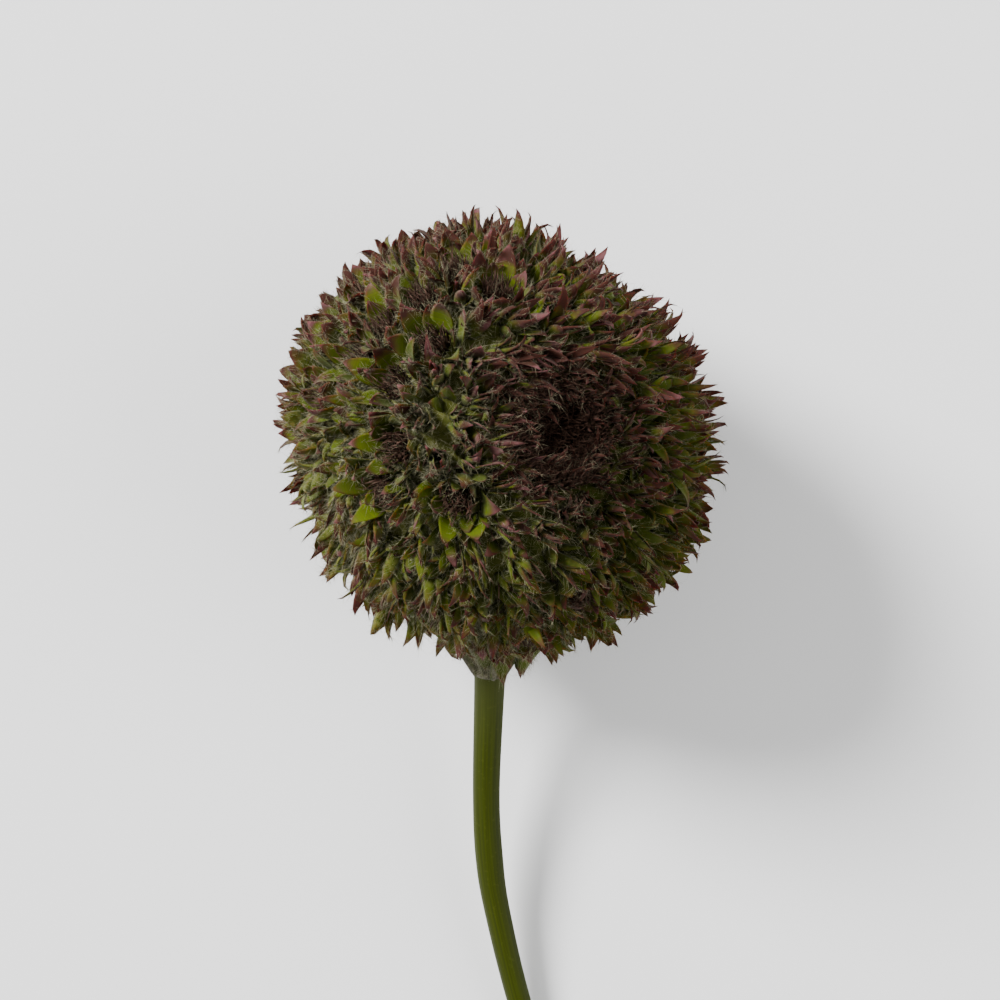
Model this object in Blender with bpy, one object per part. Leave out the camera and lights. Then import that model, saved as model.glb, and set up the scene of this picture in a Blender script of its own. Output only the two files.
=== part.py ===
"""A cut gerbera with a round, bract-covered head, lying on a surface with its face up.

The frame: the surface is z = 0, +Z is up, and the origin is on the surface under the middle of the head.
+Y runs from the stem's cut end towards the head. The face of the flower, its eye, looks up and a little to +X.
"""

import math

import bmesh
import bpy
import numpy as np
from mathutils import Vector

MM = 0.001

# The head, from its middle
HEAD_RADIUS = 31.0 * MM
CORE_RADIUS = 25.4 * MM
HEAD_MIDDLE = Vector((0.0, 0.0, 29.3 * MM))
EYE_AXIS = Vector((0.297, 0.036, 0.954)).normalized()
STEM_AXIS = Vector((-0.05, -0.90, -0.43)).normalized()
LONG_WAY = Vector((-0.648, 0.761, 0.0)).normalized()
SHORT_WAY = Vector((0.761, 0.648, 0.0)).normalized()
STRETCH = 0.035

GOLDEN_ANGLE = math.pi * (3.0 - math.sqrt(5.0))

# The small heads that cover it, in radians of arc seen from the middle
SPACING = 0.27
TIGHT_SPACING = 0.235
EYE_CAP = 0.41
STEM_CAP = 0.33
CANDIDATES = 3000
PUSH = 0.05
PUSH_STEPS = 120
# Open small heads that show best from above: x and y from the middle of the head, in mm
OPEN_FROM_ABOVE = [
    (-15.7, 14.3),
    (-19.4, 9.2),
    (-9.6, 18.7),
    (-24.8, 3.8),
    (-14.6, -2.7),
    (-17.6, 20.2),
    (-23.7, 13.0),
    (-14.3, 5.8),
    (-8.5, 12.3),
    (1.1, 20.4),
    (-4.8, 23.5),
    (-6.8, -9.3),
    (-16.7, -8.6),
]
# Closed small heads between them
CLOSED_FROM_ABOVE = [
    (-8.3, 1.4),
    (-2.4, 14.8),
    (-3.6, 7.6),
    (-1.6, -4.8),
]
SEEN_DEPTH = 28.6 * MM
# The closed one that the flower rests on
RESTING_AXIS = Vector((0.0, 0.0, -1.0))
# The others are open on this side of the head, and here and there elsewhere
OPEN_SIDE = Vector((-0.80, 0.35, -0.30)).normalized()
OPEN_REACH = 0.75
OPEN_EVERY = 9
# How far the closed ones that face up lean over to +X
SWEEP = 0.30

# A bract: a keeled blade with its root sunk in the core. Its stations are shares of length, width, thickness
BRACT_THICK = 0.95 * MM
ROOT_SUNK = 1.5 * MM
ROOT_SHARE = (0.72, 1.0)
MIDDLE_SHARE = (0.50, 1.0, 0.85)
TIP_KEEL = 0.3
# A ring of bracts: how many, how far from the small head's axis, their length and width, and their lean
OPEN_RING = (5, 2.75 * MM, 5.7 * MM, 3.5 * MM, 0.22)
CLOSED_RING = (3, 1.2 * MM, 6.2 * MM, 4.1 * MM, 0.50)
# How much they differ: shares of length and width, radians of lean, share of the way round
LENGTH_RANGE = (0.86, 1.06)
WIDTH_RANGE = (0.88, 1.06)
LEAN_RANGE = (-0.08, 0.10)
TURN_RANGE = (-0.08, 0.08)
RESTING_BRACT = (6.4 * MM, 4.0 * MM, 2.4 * MM)
SEED = 11

# Clearance where one piece lies on or in another
GAP = 0.3 * MM
SHARP_ANGLE = math.radians(40.0)

# The eye: a shallow pad of dark florets on a flat of the core
EYE_FLAT = 24.2 * MM
EYE_RADIUS = 7.0 * MM
EYE_RIM = 1.0 * MM
EYE_CLEAR = EYE_RADIUS + 1.2 * MM
EYE_SIDES = 20
EYE_FLORETS = 46
FLORET_RADIUS = 0.62 * MM
FLORET_RISE = 3.4 * MM
FLORET_MARGIN = 0.9 * MM
FLORET_LEAN = 0.25
MIDDLE_FLORET = 0.55
# A floret's profile: shares of its radius and of its rise
FLORET_PROFILE = [(1.0, 0.0), (1.0, 0.55), (0.15, 1.0)]

# A tuft of dark florets in an open small head: a crown of points round a middle one
TUFT_RADIUS = 1.9 * MM
TUFT_RISE = 2.6 * MM
TUFT_CLEAR = TUFT_RADIUS + 1.5 * MM
TUFT_POINTS = 5
# Shares of the radius and of the rise at a point of the crown and between two points
CROWN_POINT = (0.95, 0.8)
CROWN_DIP = (0.55, 0.3)

# The stem: points of its centreline (x, y, z) and its radius there, in mm
STEM_ROUTE = [
    (-1.45, -33.5, 14.7, 2.20),
    (-1.95, -50.0, 9.6, 1.95),
    (-1.55, -60.0, 7.3, 2.00),
    (-0.30, -68.5, 5.6, 1.85),
    (3.20, -83.0, 3.5, 1.72),
    (9.60, -103.0, 1.8, 1.80),
    (17.60, -124.0, 1.8, 1.80),
    (23.50, -143.0, 1.8, 1.90),
]
STEM_TOP = 20.6 * MM
STEM_TOP_RADIUS = 2.9 * MM
NECK_RADIUS = 2.45 * MM
NECK_WAY = 4.5 * MM
STEM_SIDES = 12
STEM_STEPS = 4
SOCKET_RADIUS = STEM_TOP_RADIUS + GAP
SOCKET_SIDES = 16
COLLAR_BRACTS = 9
COLLAR_RING = 5.6 * MM
COLLAR_SIZE = (9.5 * MM, 3.5 * MM, BRACT_THICK)
COLLAR_LEAN = (-0.05, 0.10)


def clear_scene():
    for obj in list(bpy.data.objects):
        bpy.data.objects.remove(obj)


def make_material(name, colour, roughness):
    material = bpy.data.materials.new(name)
    material.use_nodes = True
    shader = material.node_tree.nodes["Principled BSDF"]
    shader.inputs["Base Color"].default_value = (*colour, 1.0)
    shader.inputs["Roughness"].default_value = roughness
    shader.inputs["Metallic"].default_value = 0.0
    return material


def add_object(name, bm, material, collection=None):
    """A mesh object made from a bmesh, which is freed."""
    mesh = bpy.data.meshes.new(name)
    bmesh.ops.recalc_face_normals(bm, faces=bm.faces)
    bm.to_mesh(mesh)
    bm.free()
    mesh.materials.append(material)
    obj = bpy.data.objects.new(name, mesh)
    (collection or bpy.context.scene.collection).objects.link(obj)
    return obj


def shade(obj):
    """Smooth shading that stops at sharp edges."""
    obj.data.shade_smooth()
    obj.data.set_sharp_from_angle(angle=SHARP_ANGLE)


def apply_modifiers(obj):
    graph = bpy.context.evaluated_depsgraph_get()
    made = bpy.data.meshes.new_from_object(obj.evaluated_get(graph))
    obj.modifiers.clear()
    obj.data = made


def boolean(obj, operation, other=None, collection=None):
    """One Boolean, applied. What it used is removed."""
    modifier = obj.modifiers.new(operation.lower(), "BOOLEAN")
    modifier.operation = operation
    if collection:
        modifier.operand_type = "COLLECTION"
        modifier.collection = collection
    else:
        modifier.object = other
    apply_modifiers(obj)
    for used in list(collection.objects) if collection else [other]:
        bpy.data.objects.remove(used)
    if collection:
        bpy.data.collections.remove(collection)


def new_collection(name):
    collection = bpy.data.collections.new(name)
    bpy.context.scene.collection.children.link(collection)
    return collection


def head_point(offset):
    """A point given from the middle of a round head, on this head, which is a little longer one way."""
    stretched = offset.copy()
    stretched += LONG_WAY * offset.dot(LONG_WAY) * STRETCH
    stretched -= SHORT_WAY * offset.dot(SHORT_WAY) * STRETCH
    return HEAD_MIDDLE + stretched


def turned_out(axis, angle):
    """The unit vector square to an axis at an angle round it."""
    first = axis.orthogonal().normalized()
    return first * math.cos(angle) + axis.cross(first).normalized() * math.sin(angle)


def spiral_axes(count, pole):
    """Unit vectors spread evenly over a sphere by the golden angle, from a pole."""
    for i in range(count):
        along = 1.0 - 2.0 * (i + 0.5) / count
        yield pole * along + turned_out(pole, GOLDEN_ANGLE * i) * math.sqrt(1.0 - along * along)


def seen_axis(x, y):
    """The axis of a small head seen from above at x, y (mm) from the middle."""
    x, y = x * MM / SEEN_DEPTH, y * MM / SEEN_DEPTH
    return x, y, math.sqrt(max(0.0, 1.0 - x * x - y * y))


def keep_off(points, pole, cap):
    """Unit vectors nearer to a pole than its cap, moved out to the cap's edge."""
    along = points @ pole
    across = points - np.outer(along, pole)
    across /= np.linalg.norm(across, axis=1, keepdims=True)
    edge = math.cos(cap) * pole + math.sin(cap) * across
    return np.where((along > math.cos(cap))[:, None], edge, points)


def fill_gaps(chosen, places, spacing):
    """The axes with more of them from places, each in the emptiest spot, until no spot is empty for spacing."""
    nearest = (places @ chosen.T).max(axis=1)
    while nearest.min() < math.cos(spacing):
        added = places[nearest.argmin()]
        chosen = np.vstack([chosen, added])
        nearest = np.maximum(nearest, places @ added)
    return chosen


def push_apart(axes, held, eye, stem):
    """The axes after those past the first held ones have pushed each other apart, clear of the eye and stem."""
    for _ in range(PUSH_STEPS):
        free = axes[held:]
        apart = free[:, None, :] - axes[None, :, :]
        far = np.linalg.norm(apart, axis=2)
        push = np.clip(1.0 - far / (2.0 * SPACING), 0.0, 1.0) / np.maximum(far, 1e-6)
        push[far < 1e-6] = 0.0
        free = free + PUSH * SPACING * (apart * push[:, :, None]).sum(axis=1)
        free /= np.linalg.norm(free, axis=1, keepdims=True)
        axes = np.vstack([axes[:held], keep_off(keep_off(free, eye, EYE_CAP), stem, STEM_CAP)])
    return axes


def small_head_axes():
    """The axes of all the small heads: those with a place of their own, and then the others between them."""
    eye, stem = np.array(EYE_AXIS), np.array(STEM_AXIS)
    own_places = [seen_axis(x, y) for x, y in OPEN_FROM_ABOVE + CLOSED_FROM_ABOVE]
    axes = np.array([*own_places, tuple(RESTING_AXIS)])
    held = len(axes)
    places = np.array([tuple(a) for a in spiral_axes(CANDIDATES, EYE_AXIS)])
    places = places[(places @ eye < math.cos(EYE_CAP)) & (places @ stem < math.cos(STEM_CAP))]
    for spacing in (SPACING, TIGHT_SPACING):
        axes = push_apart(fill_gaps(axes, places, spacing), held, eye, stem)
    return [Vector(a) for a in axes]


def opens(index, axis):
    """Whether a small head stands open."""
    if index <= len(OPEN_FROM_ABOVE + CLOSED_FROM_ABOVE):
        return index < len(OPEN_FROM_ABOVE)
    return axis.dot(OPEN_SIDE) > OPEN_REACH or index % OPEN_EVERY == 0


def add_bract(name, root, along, away, size, material, collection):
    """A keeled blade with two three-sided stations and a tip.

    It starts at root, runs along, and has its keel on the side away. Its size is length, width and thickness.
    """
    bm = bmesh.new()
    length, width, thick = size
    side = along.cross(away).normalized()
    middle_way, middle_wide, middle_thick = MIDDLE_SHARE
    rings = []
    for way, wide, deep in [(-ROOT_SUNK, *ROOT_SHARE), (length * middle_way, middle_wide, middle_thick)]:
        middle = root + along * way
        half = side * width * wide / 2.0
        rings.append([bm.verts.new(middle + p) for p in (-half, half, away * thick * deep)])
    tip = bm.verts.new(root + along * length + away * thick * TIP_KEEL)
    low, high = rings
    bm.faces.new(low)
    for k in range(3):
        after = (k + 1) % 3
        bm.faces.new((low[k], low[after], high[after]))
        bm.faces.new((low[k], high[after], high[k]))
        bm.faces.new((high[k], high[after], tip))
    return add_object(name, bm, material, collection)


def leaned(rise, out, lean):
    """A bract's direction and its keel's, where it leans from rise towards out."""
    out = (out - rise * out.dot(rise)).normalized()
    along = rise * math.cos(lean) + out * math.sin(lean)
    return along, out * math.cos(lean) - rise * math.sin(lean)


def comes_near(points, axis, radius):
    """Whether any of the points is within a radius of the line from the middle of the head along an axis."""
    from_middle = [point - HEAD_MIDDLE for point in points]
    return any(p.dot(axis) > 0.0 and p.cross(axis).length < radius for p in from_middle)


def add_small_head_bracts(index, axis, is_open, florets, chance, material, collection):
    """A ring of bracts round a small head's axis. A closed one that faces up leans over to +X.

    A bract that would stand in one of the florets' places, given by axis and radius, is left out.
    """
    count, ring, length, width, lean = OPEN_RING if is_open else CLOSED_RING
    sweep = 0.0 if is_open else SWEEP * max(0.0, axis.z) ** 2
    rise = (axis + Vector((sweep, 0.0, 0.0))).normalized()
    start = chance.uniform(0.0, 1.0)
    for k in range(count):
        out = turned_out(axis, 2.0 * math.pi * (start + k + chance.uniform(*TURN_RANGE)) / count)
        root = head_point(axis * math.sqrt(CORE_RADIUS**2 - ring**2) + out * ring)
        along, away = leaned(rise, out, lean + chance.uniform(*LEAN_RANGE))
        size = length * chance.uniform(*LENGTH_RANGE), width * chance.uniform(*WIDTH_RANGE), BRACT_THICK
        line = [root + along * size[0] * share for share in (0.0, 0.5, 1.0)]
        if not any(comes_near(line, floret_axis, radius) for floret_axis, radius in florets):
            add_bract(f"bract_{index}_{k}", root, along, away, size, material, collection)


def add_resting_bract(material, collection):
    """A stout bract straight down from the middle of the head. Its cut end is the origin."""
    out = turned_out(RESTING_AXIS, 0.0)
    size = RESTING_BRACT
    root = head_point(RESTING_AXIS * CORE_RADIUS - out * size[2] * TIP_KEEL)
    add_bract("resting_bract", root, RESTING_AXIS, out, size, material, collection)


def add_collar_bracts(chance, material, collection):
    """The longer bracts that hang round the stem where it meets the head."""
    for k in range(COLLAR_BRACTS):
        out = turned_out(STEM_AXIS, 2.0 * math.pi * k / COLLAR_BRACTS)
        depth = math.sqrt(CORE_RADIUS**2 - COLLAR_RING**2)
        root = head_point(STEM_AXIS * depth + out * COLLAR_RING)
        along, away = leaned(STEM_AXIS, out, chance.uniform(*COLLAR_LEAN))
        length, width, thick = COLLAR_SIZE
        size = length * chance.uniform(*LENGTH_RANGE), width, thick
        add_bract(f"collar_{k}", root, along, away, size, material, collection)


def join_rings(bm, rings):
    """Faces between rings with the same number of points, and flat ends."""
    for low, high in zip(rings, rings[1:]):
        for k in range(len(low)):
            after = (k + 1) % len(low)
            bm.faces.new((low[k], low[after], high[after], high[k]))
    bm.faces.new(rings[0])
    bm.faces.new(rings[-1])


def turned(sides, profile, axis, origin):
    """A bmesh turned round an axis from a profile of (radius, height) pairs, with flat ends."""
    bm = bmesh.new()
    ways = [turned_out(axis, 2.0 * math.pi * k / sides) for k in range(sides)]
    rings = []
    for radius, height in profile:
        rings.append([bm.verts.new(origin + axis * height + out * radius) for out in ways])
    join_rings(bm, rings)
    return bm


def make_core(name, material):
    """The receptacle: a ball with a flat where the eye sits."""
    bm = bmesh.new()
    bmesh.ops.create_icosphere(bm, subdivisions=3, radius=CORE_RADIUS)
    flat = EYE_AXIS * EYE_FLAT
    geometry = [*bm.verts, *bm.edges, *bm.faces]
    bmesh.ops.bisect_plane(bm, geom=geometry, plane_co=flat, plane_no=EYE_AXIS, clear_outer=True)
    bmesh.ops.holes_fill(bm, edges=[e for e in bm.edges if e.is_boundary])
    for vert in bm.verts:
        vert.co = head_point(vert.co)
    return add_object(name, bm, material)


def make_bract_head(axes, is_open, material):
    """The core with all its green bracts, the socket for the stem, and the flat spot that it lies on."""
    chance = np.random.default_rng(SEED)
    head = make_core("bract_head", material)
    blades = new_collection("blades")
    tuft_places = [(a, TUFT_CLEAR) for a, opened in zip(axes, is_open) if opened]
    for index, axis in enumerate(axes):
        others = [place for place in tuft_places if place[0] is not axis]
        florets = [(EYE_AXIS, EYE_CLEAR), *others]
        add_small_head_bracts(index, axis, is_open[index], florets, chance, material, blades)
    add_resting_bract(material, blades)
    add_collar_bracts(chance, material, blades)
    boolean(head, "UNION", collection=blades)

    profile = [(SOCKET_RADIUS, STEM_TOP - GAP), (SOCKET_RADIUS, 2.0 * CORE_RADIUS)]
    socket = turned(SOCKET_SIDES, profile, STEM_AXIS, HEAD_MIDDLE)
    boolean(head, "DIFFERENCE", add_object("socket", socket, material))

    below = bmesh.new()
    bmesh.ops.create_cube(below, size=4.0 * HEAD_RADIUS)
    bmesh.ops.translate(below, verts=below.verts, vec=(0.0, 0.0, -2.0 * HEAD_RADIUS))
    boolean(head, "DIFFERENCE", add_object("below", below, material))
    return head


def make_eye(material):
    """The eye: a dished pad with pointed florets all over, shorter towards the middle."""
    seat = EYE_FLAT + GAP
    profile = [(EYE_RADIUS - EYE_RIM, 0.0), (EYE_RADIUS, EYE_RIM), (0.55 * EYE_RADIUS, 0.8 * EYE_RIM)]
    pad = turned(EYE_SIDES, profile, EYE_AXIS, head_point(EYE_AXIS * seat))
    eye = add_object("eye_florets", pad, material)
    florets = new_collection("florets")
    for i in range(EYE_FLORETS):
        share = math.sqrt((i + 0.5) / EYE_FLORETS)
        out = turned_out(EYE_AXIS, GOLDEN_ANGLE * i)
        root = head_point(EYE_AXIS * (seat + 0.3 * EYE_RIM) + out * (EYE_RADIUS - FLORET_MARGIN) * share)
        rise = FLORET_RISE * (MIDDLE_FLORET + (1.0 - MIDDLE_FLORET) * share)
        profile = [(FLORET_RADIUS * wide, rise * way) for wide, way in FLORET_PROFILE]
        floret = turned(3, profile, (EYE_AXIS + out * FLORET_LEAN * share).normalized(), root)
        add_object(f"floret_{i}", floret, material, florets)
    boolean(eye, "UNION", collection=florets)
    return eye


def make_tuft(name, axis, material):
    """A crown of pointed florets round a middle one, raised from a round base."""
    bm = bmesh.new()
    sides = 2 * TUFT_POINTS
    foot = axis * (CORE_RADIUS + GAP)
    base, crown = [], []
    for k in range(sides):
        out = turned_out(axis, 2.0 * math.pi * k / sides) * TUFT_RADIUS
        reach, rise = CROWN_DIP if k % 2 else CROWN_POINT
        base.append(bm.verts.new(head_point(foot + out)))
        crown.append(bm.verts.new(head_point(foot + axis * TUFT_RISE * rise + out * reach)))
    peak = bm.verts.new(head_point(foot + axis * TUFT_RISE))
    bm.faces.new(base)
    for k in range(sides):
        after = (k + 1) % sides
        bm.faces.new((base[k], base[after], crown[after]))
        bm.faces.new((base[k], crown[after], crown[k]))
        bm.faces.new((crown[k], crown[after], peak))
    return add_object(name, bm, material)


def stem_line():
    """Points of the stem's centreline with its radius there, on a smooth curve through the route."""
    top = HEAD_MIDDLE + STEM_AXIS * STEM_TOP
    neck = HEAD_MIDDLE + STEM_AXIS * (STEM_TOP + NECK_WAY)
    knots = [np.array((*top, STEM_TOP_RADIUS)), np.array((*neck, NECK_RADIUS))]
    knots += [np.array(point) * MM for point in STEM_ROUTE]
    padded = [2.0 * knots[0] - knots[1], *knots, 2.0 * knots[-1] - knots[-2]]
    for a, b, c, d in zip(padded, padded[1:], padded[2:], padded[3:]):
        bend = 2.0 * a - 5.0 * b + 4.0 * c - d
        twist = 3.0 * b - a - 3.0 * c + d
        for t in np.arange(STEM_STEPS) / STEM_STEPS:
            yield b + 0.5 * ((c - a) * t + bend * t**2 + twist * t**3)
    yield knots[-1]


def make_stem(material):
    """The stem: rings square to its centreline. Its lowest flat side lies on the surface."""
    flat_share = math.cos(math.pi / STEM_SIDES)
    line = [(Vector((x, y, max(z, r * flat_share))), r) for x, y, z, r in stem_line()]
    points = [point for point, _ in line]
    bm = bmesh.new()
    rings = []
    for before, (point, radius), after in zip([points[0], *points], line, [*points[1:], points[-1]]):
        along = (after - before).normalized()
        side = along.cross(Vector((0.0, 0.0, 1.0))).normalized()
        up = side.cross(along)
        turns = [2.0 * math.pi * (k + 0.5) / STEM_SIDES for k in range(STEM_SIDES)]
        rings.append([bm.verts.new(point + (side * math.cos(t) + up * math.sin(t)) * radius) for t in turns])
    join_rings(bm, rings)
    return add_object("stem", bm, material)


def main():
    clear_scene()
    green = make_material("bract green", (0.10, 0.13, 0.03), 0.7)
    maroon = make_material("floret maroon", (0.045, 0.015, 0.018), 0.8)
    stem_green = make_material("stem green", (0.09, 0.12, 0.03), 0.5)
    axes = small_head_axes()
    is_open = [opens(index, axis) for index, axis in enumerate(axes)]
    make_bract_head(axes, is_open, green)
    make_eye(maroon)
    tufted = [axis for axis, opened in zip(axes, is_open) if opened]
    for number, axis in enumerate(tufted, start=1):
        make_tuft(f"floret_tuft_{number:02d}", axis, maroon)
    make_stem(stem_green)
    for obj in bpy.context.scene.objects:
        shade(obj)


main()
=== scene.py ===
"""The looks of a cut gerbera whose round head is covered in small heads of green, maroon-tipped bracts.

Everything is in metres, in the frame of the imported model: the flower lies on z = 0 and the middle of its head
is straight above the origin. Each new piece is a surface worked out with numpy.
"""

import math
from functools import cache
from types import SimpleNamespace

import bpy
import numpy as np
from bpy.props import FloatProperty, FloatVectorProperty, IntProperty, PointerProperty
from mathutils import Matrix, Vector


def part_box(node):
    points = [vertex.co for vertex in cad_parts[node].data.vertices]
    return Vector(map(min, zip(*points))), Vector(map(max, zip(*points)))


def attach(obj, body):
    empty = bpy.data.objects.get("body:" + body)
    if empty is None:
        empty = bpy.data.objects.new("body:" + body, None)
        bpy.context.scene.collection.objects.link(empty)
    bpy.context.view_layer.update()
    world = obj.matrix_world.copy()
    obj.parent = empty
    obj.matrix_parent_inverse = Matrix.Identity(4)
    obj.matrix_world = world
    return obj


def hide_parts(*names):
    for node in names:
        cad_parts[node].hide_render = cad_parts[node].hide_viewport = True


bl_info = {
    "name": "Gerbera Bract Head",
    "version": (1, 0, 0),
    "blender": (4, 5, 0),
    "location": "3D View > Sidebar > Gerbera",
    "description": "Builds the bracts, florets, wool and stem of a round gerbera head",
    "category": "Add Mesh",
}

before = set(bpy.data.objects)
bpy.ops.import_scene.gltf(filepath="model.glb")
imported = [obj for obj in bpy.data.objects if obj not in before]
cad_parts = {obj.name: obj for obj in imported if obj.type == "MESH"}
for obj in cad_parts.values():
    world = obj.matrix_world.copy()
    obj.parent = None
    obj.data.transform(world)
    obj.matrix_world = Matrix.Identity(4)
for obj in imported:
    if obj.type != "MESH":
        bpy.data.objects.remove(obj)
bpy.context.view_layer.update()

MM = 0.001
GOLDEN_ANGLE = math.pi * (3.0 - math.sqrt(5.0))
UP = (0.0, 0.0, 1.0)


def direction(*parts):
    return np.array(parts) / np.linalg.norm(parts)


# Directions from the middle of the head
EYE_AXIS = direction(0.297, 0.036, 0.954)
DARK_AXIS = direction(0.400, 0.000, 0.917)
FLAME_AXIS = direction(0.050, -0.420, 0.906)
WOOLLY_AXIS = direction(-0.88, -0.40, 0.10)
# Towards the lit upper left, where the bracts get painted light: a brighter green and less dark stain
LIT_SIDE_AXIS = direction(-0.42, 0.30, 0.86)
# Towards the shaded lower right, where the bracts get painted shade: a darker green
SHADED_SIDE_AXIS = direction(0.30, -0.56, 0.77)
STEM_AXIS = direction(-0.05, -0.90, -0.43)
LONG_WAY = direction(-0.648, 0.761, 0.0)
SHORT_WAY = direction(0.761, 0.648, 0.0)

# Where the head is fuller or flatter: the side, in degrees from +X towards +Y, and the share of a bract's length
FULLER_SIDES = [(18, 0.22), (58, -0.20), (92, 0.20), (160, 0.24), (226, 0.42)]

# How softly the tips are drawn in past the reach, past it round the stem, and past the half width
SOFT_REACH = 1.9 * MM
SOFT_BY_STEM = 60.0 * MM
SOFT_SIDE = 1.15 * MM

# How the closed small heads spread: places to choose from, rounds and size of the pushes, and the free way that is
# left before and after them, as a share of the room
SPIRAL_PLACES = 6000
PUSHES = 80
PUSH_STEP = 0.010
FREE_BEFORE = 0.66
FREE_AFTER = 0.64

# Radians: the widest gap between bracts with no filler, and the ball's part that a tuft covers
FILLER_GAP = 0.050
TUFT_COVER = 0.10

# Points along a bract, how deep its root is in the receptacle, and up to which width a bract counts as small
ROWS = 8
ROOT_DEPTH = 0.5 * MM
SMALL_WIDTH = 1.3 * MM

# Florets in the eye, in the tuft of an open small head and in a closed one
EYE_FLORETS = 2600
OPEN_FLORETS = 110
CLOSED_FLORETS = 4

# Sides of a floret or hair
SIDES = 3

# Radians: how near to the stem's line the loose hairs come
LOOSE_STEM_CAP = 0.16

# The stem: points of its centreline (x, y, z) and its radius there, in mm
STEM_ROUTE = [
    (-1.45, -33.5, 14.7, 2.20),
    (-1.95, -50.0, 9.6, 1.95),
    (-1.55, -60.0, 7.3, 2.00),
    (-0.30, -68.5, 5.6, 1.85),
    (3.20, -83.0, 3.5, 1.72),
    (9.60, -103.0, 1.8, 1.80),
    (17.60, -124.0, 1.8, 1.80),
    (23.50, -143.0, 1.8, 1.90),
]
# Its first two points: how far from the middle of the head they are, and the radius there, in mm
STEM_TOP = [(20.6, 2.9), (25.1, 2.45)]
# Its cut end: how far past the last point a ring is, in mm, the share of the radius, and how bare the pith is
STEM_END = [(0.0, 1.0, 0.0), (0.25, 0.93, 0.2), (0.30, 0.80, 1.0), (0.20, 0.52, 1.0), (-0.30, 0.42, 0.9),
            (-2.2, 0.40, 0.5)]
STEM_STEPS = 12
STEM_AROUND = 36
# The down on it: the first of its rings with down, and how many rings have it
DOWN_START = 15
DOWN_RINGS = 7

# The woolly funnel on the stem: rings at these steps of a finer stem, points round it, and how far it stands out
FUNNEL_STEPS = 24
FUNNEL_ROWS = np.arange(26, 48)
FUNNEL_AROUND = 66
FUNNEL_REACH = 6.6 * MM

# The lights: where they are from the middle of the head, and how wide
LIGHTS = {"key": ((-1.65, 1.15, 1.60), 1.0), "fill": ((1.95, -0.10, 1.38), 2.25)}


# Sizes and colours


def amount(name, description, default, **more):
    return FloatProperty(name=name, description=description, default=default, min=0.0, **more)


def length(name, description, default):
    return amount(name, description, default, unit="LENGTH")


def share(name, description, default):
    return amount(name, description, default, max=1.0, subtype="FACTOR")


def angle(name, description, default):
    return FloatProperty(name=name, description=description, default=default, subtype="ANGLE")


def whole(name, description, default):
    return IntProperty(name=name, description=description, default=default, min=0)


def colour(name, description, default):
    return FloatVectorProperty(
        name=name, description=description, default=default, size=3, min=0.0, max=1.0, subtype="COLOR"
    )


class GerberaHeadSizes(bpy.types.PropertyGroup):
    """Sizes of the head and of its small heads"""

    height: length("Height of the middle", "From the surface to the middle of the head", 29.3 * MM)
    core: length("Receptacle radius", "The woolly ball that the small heads grow from", 25.2 * MM)
    stretch: share("Stretch", "How much longer the head is one way, and shorter the other", 0.054)
    spacing: angle("Spacing", "Between neighbouring closed small heads, seen from the middle", 0.200)
    open_spacing: angle("Open spacing", "Between neighbouring open small heads, seen from the middle", 0.262)
    eye_crowding: share("Crowding", "The spacing beside the eye, as a share of the spacing elsewhere", 0.50)
    eye_cap: angle("Eye cap", "Half the width of the dark middle of the eye, seen from the middle", 0.23)
    stem_cap: angle("Stem cap", "Half the width of the bare place round the stem, seen from the middle", 0.43)
    reach: length("Reach", "From the middle of the head to where the tips begin to be drawn in", 30.4 * MM)
    half_width: length("Half width", "From the middle to where tips on the left and right are drawn in", 30.3 * MM)
    floor_bend: length("Floor bend", "Height under which what reaches the surface is bent flat", 1.6 * MM)
    seed: whole("Seed", "Start of every random draw", 7)


class GerberaBractSizes(bpy.types.PropertyGroup):
    """Sizes of the bracts"""

    open_length: length("Open length", "Length of a bract of an open small head", 5.8 * MM)
    open_width: length("Open width", "Width of a bract of an open small head", 3.7 * MM)
    closed_length: length("Closed length", "Length of a bract of a closed small head", 6.6 * MM)
    closed_width: length("Closed width", "Width of a bract of a closed small head", 2.15 * MM)
    eye_length: length("Length beside the eye", "Length of a bract beside the eye", 4.0 * MM)
    eye_width: length("Width beside the eye", "Width of a bract beside the eye", 1.05 * MM)
    collar_length: length("Collar length", "Length of a bract that hangs round the stem", 12.0 * MM)
    collar_width: length("Collar width", "Width of a bract that hangs round the stem", 4.0 * MM)
    thickness: length("Thickness", "Of a bract at its midrib", 0.34 * MM)
    keel: length("Keel", "How far the midrib stands out on the back", 0.16 * MM)


class GerberaFloretSizes(bpy.types.PropertyGroup):
    """Sizes of the dark florets"""

    tuft_radius: length("Tuft radius", "Of the florets in an open small head", 2.6 * MM)
    tuft_height: length("Tuft height", "How far the florets stand out in an open small head", 3.0 * MM)
    width: length("Width", "Of a floret at its foot", 0.32 * MM)
    eye_radius: length("Eye radius", "Of the round patch of florets", 7.4 * MM)
    eye_floor: length("Eye floor", "From the middle of the head to the feet of the eye's florets", 24.0 * MM)
    eye_height: length("Eye height", "Of the florets at the rim of the eye", 4.3 * MM)


class GerberaWoolSizes(bpy.types.PropertyGroup):
    """Sizes and numbers of the hairs"""

    width: length("Width", "Of a hair at its root", 0.037 * MM)
    short: length("Short hairs", "Mean length of the hairs on a bract", 1.05 * MM)
    long: length("Long hairs", "Mean length of the loose hairs between the bracts", 2.6 * MM)
    felt_hairs: whole("Felt hairs", "On the backs of the bracts", 58000)
    edge_hairs: whole("Edge hairs", "Along the edges of the bracts", 30000)
    loose_hairs: whole("Loose hairs", "Between the bracts", 4600)
    ground_hairs: whole("Ground hairs", "On the receptacle", 12000)
    eye_hairs: whole("Eye hairs", "Round the dark eye", 2600)
    collar_hairs: whole("Collar hairs", "On the bracts round the stem", 3000)
    funnel_hairs: whole("Funnel hairs", "On the woolly funnel", 1600)
    floret_hairs: whole("Tuft hairs", "Among the florets of the tufts", 3200)
    stem_hairs: whole("Stem hairs", "On the top of the stem", 500)


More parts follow.
